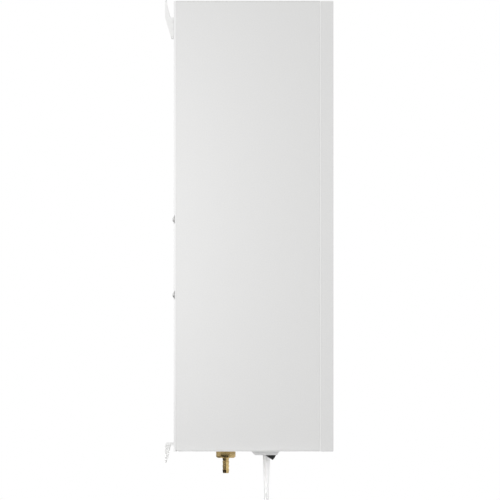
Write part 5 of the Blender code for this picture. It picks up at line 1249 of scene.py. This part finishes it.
# %% Pump trim
CAP_CIRCLE = 0.0455
CAP_PROFILE = ((0.0022, 0), (0.0022, 0.0028), (0.0018, 0.0032))
LID_SCREW = ((0.0028, 0), (0.0026, 0.0010), (0.0016, 0.0016))
GLAND = ((0.0062, 0), (0.0062, 0.004), (0.0050, 0.005), (0.0044, 0.010))
terminal_box = box("pump_terminal_box", at(0.034, -0.2130, 0.143), at(0.086, -0.1872, 0.207))
bevel_edges(terminal_box, 0.006, 4, lambda edge: abs(edge.verts[0].co.y - edge.verts[1].co.y) > 0.01)
sink(terminal_box, faces_room, 0.0012, -0.0012)
hang(softened(terminal_box, 0.0008), black_plastic)
caps = repeated(turned("cap", CAP_PROFILE, axis=ROOMWARD, steps=24),
                *(at(PUMP_X + x, -0.1210, PUMP_LEVEL + height) for x, height in ring_of_six(CAP_CIRCLE)))
caps += repeated(turned("cap", LID_SCREW, axis=ROOMWARD, steps=24), *(at(x, -0.2142, 0.150) for x in (0.040, 0.080)))
gathered("pump_cap_screws", screw_steel, *caps, degrees=40)
hang(smooth(turned("pump_gland", GLAND, at(0.034, -0.2000, 0.160), (-1, 0, 0), 32), 40), black_plastic)
print("pump trim ready")

# %% [markdown]
# The control board is a slab of green lacquer held by four screws, crowded with bought-in parts. Each part is a box or
# a turned can with the one detail that tells it apart: a taped winding, a capacitor's sunk lid, fins.

# %% Control board
PCB_FRONT = -0.0270
PCB_REAR = -0.0254
CORE = (-0.138, 0.307)
WINDINGS = [(CORE[0], CORE[1] + side * 0.0098) for side in (-1, 1)]
CHIP_RISE, CHIP_EDGE = 0.0016, 0.0002
FUSE_LEVEL = 0.246
LID_MARGIN = 0.08
LID_DEPTH = 0.0003
slab = box("power_board_piece", at(-0.178, PCB_REAR, 0.232), at(-0.028, PCB_FRONT, 0.342))
hang(softened(slab, 0.0002), board_green, "power_board")


def standing(places, wide, tall, deep, width=0.0004):
    """Parts of one kind that stand on the board at their (x, height), each with a slightly sunk lid."""
    part = box("board_part", (-wide / 2, -deep, -tall / 2), (wide / 2, LID_DEPTH, tall / 2))
    sink(part, faces_room, min(wide, tall) * LID_MARGIN, LID_DEPTH)
    return repeated(softened(part, width), *(at(x, PCB_FRONT, height) for x, height in places))


relays = standing([(-0.044 - 0.020 * i, 0.252) for i in range(4)], 0.016, 0.020, 0.0276)
gathered("board_relays", relay_blue, *relays)
gathered("core", cast_iron, *standing([CORE], 0.040, 0.030, 0.0190), *standing([CORE], 0.040, 0.012, 0.0330))
gathered("board_winding", coil_tape, *standing(WINDINGS, 0.030, 0.0088, 0.0330, 0.0018))
headers = standing([(-0.166 + 0.017 * i, 0.336) for i in range(8)], 0.013, 0.007, 0.010)
headers += standing([(-0.172, 0.262 + 0.017 * i) for i in range(2)], 0.008, 0.013, 0.010)
gathered("board_headers", white_plastic, *headers)
chips = standing([(-0.078, 0.285)], 0.014, 0.014, CHIP_DEPTH, CHIP_EDGE)
chips += standing([(-0.060, 0.282)], 0.008, 0.010, CHIP_DEPTH, CHIP_EDGE)
chips += standing([(-0.118 + 0.004 * i, 0.276) for i in range(6)], 0.002, 0.006, CHIP_RISE, CHIP_EDGE)
gathered("board_chips", black_plastic, *chips)


def can(x, height, radius, tall):
    """A capacitor: a groove round its foot and a sunk lid."""
    profile = ((radius, 0), (radius, 0.0016), (radius * 0.92, 0.0022), (radius, 0.0030), (radius, tall - 0.0008),
               (radius * 0.9, tall), (radius * 0.82, tall - 0.0003), (radius * 0.3, tall - 0.0003))
    return turned("can", profile, at(x, PCB_FRONT, height), ROOMWARD, 40)


CANS = ((-0.092, 0.312, 0.0062, 0.022), (-0.074, 0.318, 0.0050, 0.018), (-0.098, 0.290, 0.0040, 0.012))
cans = gathered("board_capacitors", black_plastic, *(can(*place) for place in CANS), degrees=30)
paint_part(cans, zinc, lambda face: face.normal.y < -0.95)
fin = box("fin", (0, -0.020, 0), (0.0012, 0, 0.030))
fins = repeated(fin, *(at(-0.052 + 0.004 * i, PCB_FRONT, 0.296) for i in range(5)))
fins.append(box("fin_base", at(-0.052, PCB_FRONT - 0.004, 0.296), at(-0.0348, PCB_FRONT, 0.326)))
gathered("board_heat_sink", zinc, *fins, width=0.0002)
FUSE = ((0.0022, 0), (0.0026, 0.0003), (0.0026, 0.005), (0.0022, 0.0052), (0.0022, 0.0148), (0.0026, 0.015),
        (0.0026, 0.0197), (0.0022, 0.020))
fuse = smooth(turned("board_fuse", FUSE, at(-0.160, PCB_FRONT - 0.004, FUSE_LEVEL), (1, 0, 0), 32), 40)
clips = standing([(x, FUSE_LEVEL) for x in (-0.157, -0.143)], 0.004, 0.0065, 0.004)
gathered("board_fuse", screw_steel, fuse, *clips)
corners = [at(x, PCB_FRONT, height) for x in (-0.170, -0.036) for height in (0.240, 0.334)]
gathered("board_screws", screw_steel, *repeated(screw("board_screw", ROOMWARD, 0.0030, 0.0018), *corners))
print("control board populated")

# %% Contactor, terminals and cut-out
TRAY_FRONT = -0.0174
CONTACTOR_FRONT = -0.0954
CONTACT_XS = (-0.1705, -0.1555, -0.1405)
CONTACTS = [at(x, -0.0620, height) for x in CONTACT_XS for height in (0.137, 0.199)]
TERMINAL_XS = (-0.116, -0.102, -0.088, -0.074)
TERMINALS = [at(x, -0.0420, 0.146) for x in TERMINAL_XS]
GAP_XS = (-0.109, -0.095, -0.081)
CUTOUT_X, CUTOUT_LEVEL = -0.036, 0.190
CUTOUT_PROFILE = (
    (0.018, 0), (0.018, 0.004), (0.0165, 0.0045), (0.0165, 0.0285), (0.0158, 0.0296), (0.0045, 0.0296),
    (0.0045, 0.030), (0.0043, 0.030), (0.0043, 0.0195),
)


def wells(radius, depth, places):
    """Cutters for the round holes in which screws sit."""
    return repeated(turned("well", ((radius, 0), (radius, depth)), axis=ROOMWARD, steps=32), *places)


contactor = box("contactor_piece", at(-0.178, CONTACTOR_FRONT, 0.128), at(-0.133, TRAY_FRONT, 0.208))
steps = [box("step", at(-0.18, -0.10, low), at(-0.13, -0.0700, high)) for low, high in ((0.127, 0.146), (0.190, 0.209))]
cut_with(contactor, *steps, *wells(0.0040, 0.010, CONTACTS))
sink(contactor, lambda face: on_plane(face.calc_center_median().y, CONTACTOR_FRONT), 0.003, 0.0012)
hang(softened(contactor, 0.0006), black_plastic, "contactor")
screws = repeated(screw("contact_screw", ROOMWARD, 0.0036, 0.0024), *CONTACTS)
screws += repeated(screw("terminal_screw", ROOMWARD, 0.0028, 0.0020), *TERMINALS)
gathered("terminal_screws", screw_steel, *screws)
terminals = box("terminal_block_piece", at(-0.125, -0.0474, 0.128), at(-0.065, TRAY_FRONT, 0.164))
gap = box("gap", at(-0.0006, -0.05, 0.12), at(0.0006, -0.0400, 0.17))
cut_with(terminals, *wells(0.0034, 0.012, TERMINALS), *repeated(gap, *((x, 0, 0) for x in GAP_XS)))
hang(softened(terminals, 0.0004), grey_plastic, "terminal_block")
overheat = turned("overheat_cutout_piece", CUTOUT_PROFILE, at(CUTOUT_X, TRAY_FRONT, CUTOUT_LEVEL), ROOMWARD, 64)
hang(smooth(overheat, 35), black_plastic, "overheat_cutout")
blade = box("blade", (0, -0.0008, 0), (0.0060, 0, 0.010))
blades = repeated(blade, *(at(CUTOUT_X + x, -0.0332, CUTOUT_LEVEL + 0.012) for x in (-0.010, 0.004)))
gathered("cutout_blades", zinc, *blades, width=0.0002)
print("contactor, terminals and cut-out ready")

# %% [markdown]
# Wires join the electrical parts. Each is a line of corners with rounded bends and a round section, and wires
# that run together are shifted copies of one route, held by black ties.

# %% Wiring
def wire(name, surface, corners, radius=0.0013, bend=0.010, slot=None):
    """One insulated wire along its corners."""
    hang(tube(name, rounded_line([at(*corner) for corner in corners], bend), radius, 3), surface, slot=slot)


WIRED_ENDS = (element_ends[0], element_ends[2], element_ends[3])
ELEMENT_SPACING = 0.0032
PANEL_SPACING = 0.0013
for i, (surface, x, tip) in enumerate(zip((brown_wire, black_wire, blue_wire), CONTACT_XS, WIRED_ENDS)):
    shift = ELEMENT_SPACING * i
    out, front = -0.1060 - shift, -0.1300 - shift
    turn_x, level, top = 0.058 - shift, 0.355 - shift, 0.612 + shift
    wire(f"element_wire_{i + 1}", surface, (
        (x, -0.0640, 0.204), (x, -0.0760, 0.216), (x, out, 0.216 + shift), (x, out, level),
        (turn_x - 0.030, out, level), (turn_x, front, level), (turn_x, front, top), (tip[0], front, top),
        (*tip, top), (*tip, ELEMENT_TOP + 0.002),
    ), 0.0015, 0.012)
for i, (surface, x) in enumerate(zip((brown_wire, blue_wire, green_wire), TERMINAL_XS)):
    level, contact_x = 0.176 + 0.004 * i, CONTACT_XS[2 - i]
    wire(f"supply_wire_{i + 1}", surface,
         ((x, -0.0400, 0.163), (x, -0.0400, level), (contact_x, -0.0660, level), (contact_x, -0.0660, 0.196)))
wire("cutout_wire_1", red_wire,
     ((-0.043, -0.0336, 0.212), (-0.043, -0.0336, 0.222), (-0.070, -0.0560, 0.224), (-0.070, -0.0560, 0.262)))
wire("cutout_wire_2", red_wire,
     ((-0.029, -0.0336, 0.212), (-0.029, -0.0400, 0.226), (-0.029, -0.0620, 0.300), (-0.050, -0.0620, 0.336),
      (-0.0640, -0.0390, 0.336)))
wire("pump_cable", black_wire,
     ((0.026, -0.2000, 0.160), (0.010, -0.2000, 0.160), (0.000, -0.2000, 0.200), (0.000, -0.0900, 0.240),
      (-0.046, -0.0800, 0.336), (-0.046, -0.0380, 0.336)), 0.0030, 0.020)
wire("sensor_wire", black_wire,
     ((-0.0095, -0.0500, 0.255), (-0.0190, -0.0500, 0.255), (-0.0190, -0.0500, 0.3515),
      (-0.0810, -0.0500, 0.3515), (-0.0810, -0.0500, 0.336), (-0.0810, -0.0365, 0.336)), 0.0017, 0.006)
for i in range(6):
    shift = PANEL_SPACING * i
    x = -0.1490 + 2 * shift
    wire(f"panel_wire_{i + 1}", grey_plastic,
         ((x, -0.0380, 0.336), (x, -0.1130 - shift, 0.336 + shift), (x, -0.1500 - shift, 0.360),
          (-0.0800 + shift * 2, -0.2300, 0.400), (-0.0600 + shift * 2, -0.2482, 0.430)),
         0.0006, 0.015, "black_plastic")
print("wiring ready")

# %% Cable ties
TIE_RADIUS = 0.0062
strap = band(TIE_RADIUS, TIE_RADIUS + 0.0009, -0.0012, 0.0012)
ties = repeated(spun("strap", strap, axis=(1, 0, 0), steps=32), *(at(x, -0.1092, 0.3518) for x in (-0.060, -0.010)))
ties += repeated(spun("strap", strap, steps=32), *(at(0.0548, -0.1332, level) for level in (0.430, 0.530)))
gathered("cable_ties", black_plastic, *ties)
print(len(ties), "ties")

# %% [markdown]
# The pressure gauge has a white dial with a scale. Numbers on a dial are text, which is made a mesh before it is
# moved to its place, and the tick marks are thin boxes swung round the needle's axis.

# %% Gauge dial
GAUGE_X, GAUGE_LEVEL = 0.105, 0.085
GAUGE_REAR = -0.1147
DIAL_FRONT = GAUGE_REAR - 0.0042
DIAL_START = -135
SWEEP = 270
TICKS = 20
NUMBERS = 5
TICK_EDGE = 0.0172
NUMBER_RADIUS = 0.0115
NUMBER_SIZE = 0.0052
DIAL_DISC = ((0.0189, 0), (0.0189, 0.0001))
hang(turned("gauge_dial", DIAL_DISC, at(GAUGE_X, GAUGE_REAR - 0.0041, GAUGE_LEVEL), ROOMWARD, 72), dial_white)


def around_dial(thing, share, radius):
    """Puts a mark in its place on the scale, clockwise from the start of the sweep."""
    angle = math.radians(DIAL_START + SWEEP * share)
    thing.location = at(GAUGE_X, DIAL_FRONT, GAUGE_LEVEL) + radius * Vector((math.sin(angle), 0, math.cos(angle)))
    return done(thing)


marks = []
for step in range(TICKS + 1):
    long = 0.0030 if step % 5 == 0 else 0.0016
    mark = box("mark", (-0.00018, -0.00004, -long / 2), (0.00018, 0.00004, long / 2))
    mark.rotation_euler = (0, math.radians(DIAL_START + SWEEP * step / TICKS), 0)
    marks.append(around_dial(mark, step / TICKS, TICK_EDGE - long / 2))
for number in range(NUMBERS):
    bpy.ops.object.text_add(location=(0, 0, 0), rotation=(math.pi / 2, 0, 0))
    text = bpy.context.object.data
    text.body = str(number)
    text.size = NUMBER_SIZE
    text.align_x = text.align_y = "CENTER"
    text.extrude = 0.00003
    bpy.ops.object.convert(target="MESH")
    marks.append(around_dial(done(bpy.context.object), number / (NUMBERS - 1), NUMBER_RADIUS))
marks = hang(done(joined("gauge_scale", *marks)), dial_ink)
rim = [(0.0188, 0.0185), (0.0212, 0.0185), (0.0212, 0.0204), (0.0200, 0.0208), (0.0188, 0.0204)]
hang(spun("gauge_rim", rim, at(GAUGE_X, GAUGE_REAR, GAUGE_LEVEL), ROOMWARD, 72), black_plastic)
print("dial has", len(marks.data.polygons), "faces of marks")

# %% [markdown]
# The vessel's hose is sheathed in steel braid. Its material follows the hose, so the tube needs a UV map: how
# far round each corner of its skin is, and how far along the hose in metres.

# %% Braided hose
HOSE_REAR = -0.0945
HOSE_OUT = -0.1155
HOSE_FOOT = 0.085
hose_ends = at(VESSEL_X, HOSE_REAR, port_level), at(0.0397, STUB_Y, HOSE_FOOT)
hose_line = rounded_line(
    [hose_ends[0], at(VESSEL_X, HOSE_OUT, port_level), at(VESSEL_X, HOSE_OUT, 0.122), at(VESSEL_X, STUB_Y, HOSE_FOOT),
     hose_ends[1]], 0.012, 10)
hose = tube("vessel_hose_piece", hose_line, HOSE_RADIUS, 6)
map_layer = hose.data.uv_layers[0] if hose.data.uv_layers else hose.data.uv_layers.new(name="UVMap")
map_layer.name = "UVMap"
line_at = [0.0]
for a, b in zip(hose_line, hose_line[1:]):
    line_at.append(line_at[-1] + (b - a).length)


def hose_place(spot):
    """How far round the hose a point of its skin is, and how far along."""
    nearest = min(range(len(hose_line)), key=lambda i: (hose_line[i] - spot).length)
    before, after = hose_line[max(nearest - 1, 0)], hose_line[min(nearest + 1, len(hose_line) - 1)]
    way = (after - before).normalized()
    off = spot - hose_line[nearest]
    side = way.orthogonal().normalized() if abs(way.x) > 0.5 else way.cross(Vector((1, 0, 0))).normalized()
    other = way.cross(side)
    return math.atan2(off.dot(other), off.dot(side)) / (2 * math.pi), line_at[nearest] + off.dot(way)


for face in hose.data.polygons:
    spots = [hose_place(hose.data.vertices[hose.data.loops[corner].vertex_index].co) for corner in face.loop_indices]
    for corner, (turn, along) in zip(face.loop_indices, spots):
        if turn - spots[0][0] > 0.5:
            turn -= 1
        if turn - spots[0][0] < -0.5:
            turn += 1
        map_layer.data[corner].uv = (turn, along)
hang(hose, braid, "vessel_hose")
FERRULE = ((0.0058, 0), (0.0062, 0.0006), (0.0062, 0.013), (0.0054, 0.014))
ferrules = [turned("ferrule", FERRULE, *end, 40) for end in zip(hose_ends, (ROOMWARD, (-1, 0, 0)))]
gathered("hose_ferrules", screw_steel, *ferrules, degrees=35)
print("braided hose is", round(line_at[-1], 3), "m long")

# %% [markdown]
# The remaining solids have the right form already. Each gets its real finish and a small round on its edges.

# %% Dress the remaining solids
REST = (
    (plate_paint, 0.0004, "back_plate"),
    (enamel, 0.0004, "top_panel", "bottom_panel"),
    (zinc, 0.0004, "front_rail", "electrical_tray", "tank_bracket"),
    (red_plastic, 0.0004, "reset_button"),
    (red_plastic, 0.0005, "safety_valve_cap"),
    (rubber, 0, "discharge_hose"),
    (rubber, 0.0002, "element_seal"),
    (rubber, 0.0004, "vessel_diaphragm"),
    (copper, 0, "pump_pipe"),
    (copper, 0.0003, "return_pipe", "flow_pipe"),
    (brass, 0.0003, "air_vent", "pressure_gauge"),
    (brass, 0.0004, "safety_valve"),
    (brass, 0.0006, "return_manifold"),
    (cast_iron, 0.0010, "pump_volute"),
    (motor_paint, 0.0008, "pump_motor"),
    (black_plastic, 0.0003, "flow_sensor"),
    (moulding_plastic, 0.0004, "switch_moulding"),
    (rocker_plastic, 0.0004, "power_rocker"),
    (stainless, 0.0003, "pump_rotor"),
    (white_plastic, 0.0001, "gauge_needle"),
)
for surface, width, *nodes in REST:
    for node in nodes:
        hang(dressed(node, width), surface, node)
print(sum(len(nodes) for _, _, *nodes in REST), "solids dressed")

# %% [markdown]
# The light is a plain white surround and two soft lamps on the camera's side. The surround is full white to the
# camera, to reflections and through the window, and a little dimmer as a light. The floor under the boiler is
# pale, nearly white to the camera, and clear when it is seen from below.

# %% Light and floor
WHITE = (1, 1, 1, 1)
WORLD_LIGHT = 0.855
FLOOR_SIZE = 24
FLOOR_HEIGHT = -0.985
FLOOR_SEEN = (0.96, 0.96, 0.96, 1)
FLOOR_LIFT = 0.13

world = bpy.data.worlds.new("studio")
bpy.context.scene.world = world
world.use_nodes = True
tree = world.node_tree
seen = placed(tree, "ShaderNodeLightPath")
straight = maths(tree, "MAXIMUM", seen["Is Camera Ray"], seen["Is Glossy Ray"])
through = maths(tree, "MAXIMUM", straight, seen["Is Transmission Ray"])
strength = placed(tree, "ShaderNodeMapRange", {"Value": through, "To Min": WORLD_LIGHT, "To Max": 1.0})["Result"]
feed(tree, tree.nodes["Background"], {"Color": WHITE, "Strength": strength})

bpy.ops.mesh.primitive_plane_add(size=FLOOR_SIZE, location=(0, 0, FLOOR_HEIGHT))
floor = bpy.context.object
floor.name = "pale_floor"
floor_paint = finish("pale_floor_finish", 0.80, 0.82, (0.8, 0.05))
tree = floor_paint.node_tree
above = maths(tree, "SUBTRACT", 1.0, placed(tree, "ShaderNodeNewGeometry")["Backfacing"])
looked_at = placed(tree, "ShaderNodeLightPath")["Is Camera Ray"]
paler = mixed(tree, looked_at, colour_under(floor_paint), FLOOR_SEEN)
lifted = maths(tree, "MULTIPLY", looked_at, FLOOR_LIFT)
feed(tree, shader_of(floor_paint), {"Alpha": above, "Base Color": paler, "Emission Strength": lifted,
                                    "Emission Color": WHITE})
floor.data.materials.append(floor_paint)
print("floor", FLOOR_SIZE, "m wide")

# %% [markdown]
# Metal in a white room looks flat, so photographers stand black cards just outside the picture: the brass
# reflects them as a dark side. The two cards here stand beside and behind the drain fitting, clear of the
# boiler. Only reflections see them, and they cast no shade.

# %% Black cards for the brass
CARD_TOP = 0.02
CARD_HEIGHT = 0.42
CARD_GREY = 0.03
SIDE_CARD_X = -0.45
REAR_CARD_Y = 0.28

card_look = bpy.data.materials.new("black_card_look")
card_look.use_nodes = True
tree = card_look.node_tree
mirrored = placed(tree, "ShaderNodeLightPath")["Is Glossy Ray"]
feed(tree, shader_of(card_look), {"Base Color": colour(CARD_GREY), "Specular IOR Level": 0.0, "Alpha": mirrored})


def black_card(name, start, end):
    """An upright card between two points of a floor plan, seen by reflections alone."""
    start, end = Vector(start), Vector(end)
    middle = (start + end) / 2
    turn = math.atan2(end.y - start.y, end.x - start.x)
    place = at(middle.x, middle.y, CARD_TOP - CARD_HEIGHT / 2)
    bpy.ops.mesh.primitive_plane_add(size=1, location=place, rotation=(math.pi / 2, 0, turn))
    card = bpy.context.object
    card.name = name
    card.scale = ((end - start).length, CARD_HEIGHT, 1)
    card.data.materials.append(card_look)
    card.visible_camera = False


black_card("black_card_side", (SIDE_CARD_X, -0.165), (SIDE_CARD_X, REAR_CARD_Y))
black_card("black_card_rear", (SIDE_CARD_X, REAR_CARD_Y), (0.5, REAR_CARD_Y))
print("two cards", CARD_HEIGHT, "m high")

# %% [markdown]
# The first lamp makes the near panel a little brighter towards the wall than towards the front. The second is a
# low strip whose narrow beam passes just under the casing. It lights the fittings there, which the casing would
# otherwise leave in shade, and misses the panel above.

# %% Lamps
def strip_lamp(name, place, aim, width, height, energy, spread=180):
    """A soft rectangular lamp that neither the camera nor reflections see."""
    data = bpy.data.lights.new(name, "AREA")
    data.shape = "RECTANGLE"
    data.size = width
    data.size_y = height
    data.energy = energy
    data.spread = math.radians(spread)
    lamp = bpy.data.objects.new(name, data)
    lamp.location = place
    lamp.rotation_euler = (aim - place).to_track_quat("-Z", "Y").to_euler()
    lamp.visible_camera = False
    lamp.visible_glossy = False
    bpy.context.scene.collection.objects.link(lamp)


LAMP_LEVEL = 0.36
LOW_LEVEL = -0.044
strip_lamp("wall_side_lamp", at(-0.673, 0.16, LAMP_LEVEL), at(-HALF_WIDTH, 0.184, LAMP_LEVEL), 0.06, 0.62, 0.854)
strip_lamp("low_lamp", at(-0.75, -0.10, LOW_LEVEL), at(0, -0.10, LOW_LEVEL), 0.28, 0.05, 0.019, 9)
bpy.context.scene.view_settings.view_transform = "Standard"
print(len(bpy.data.lights), "lamps")

# %% Finish
print("scene built")
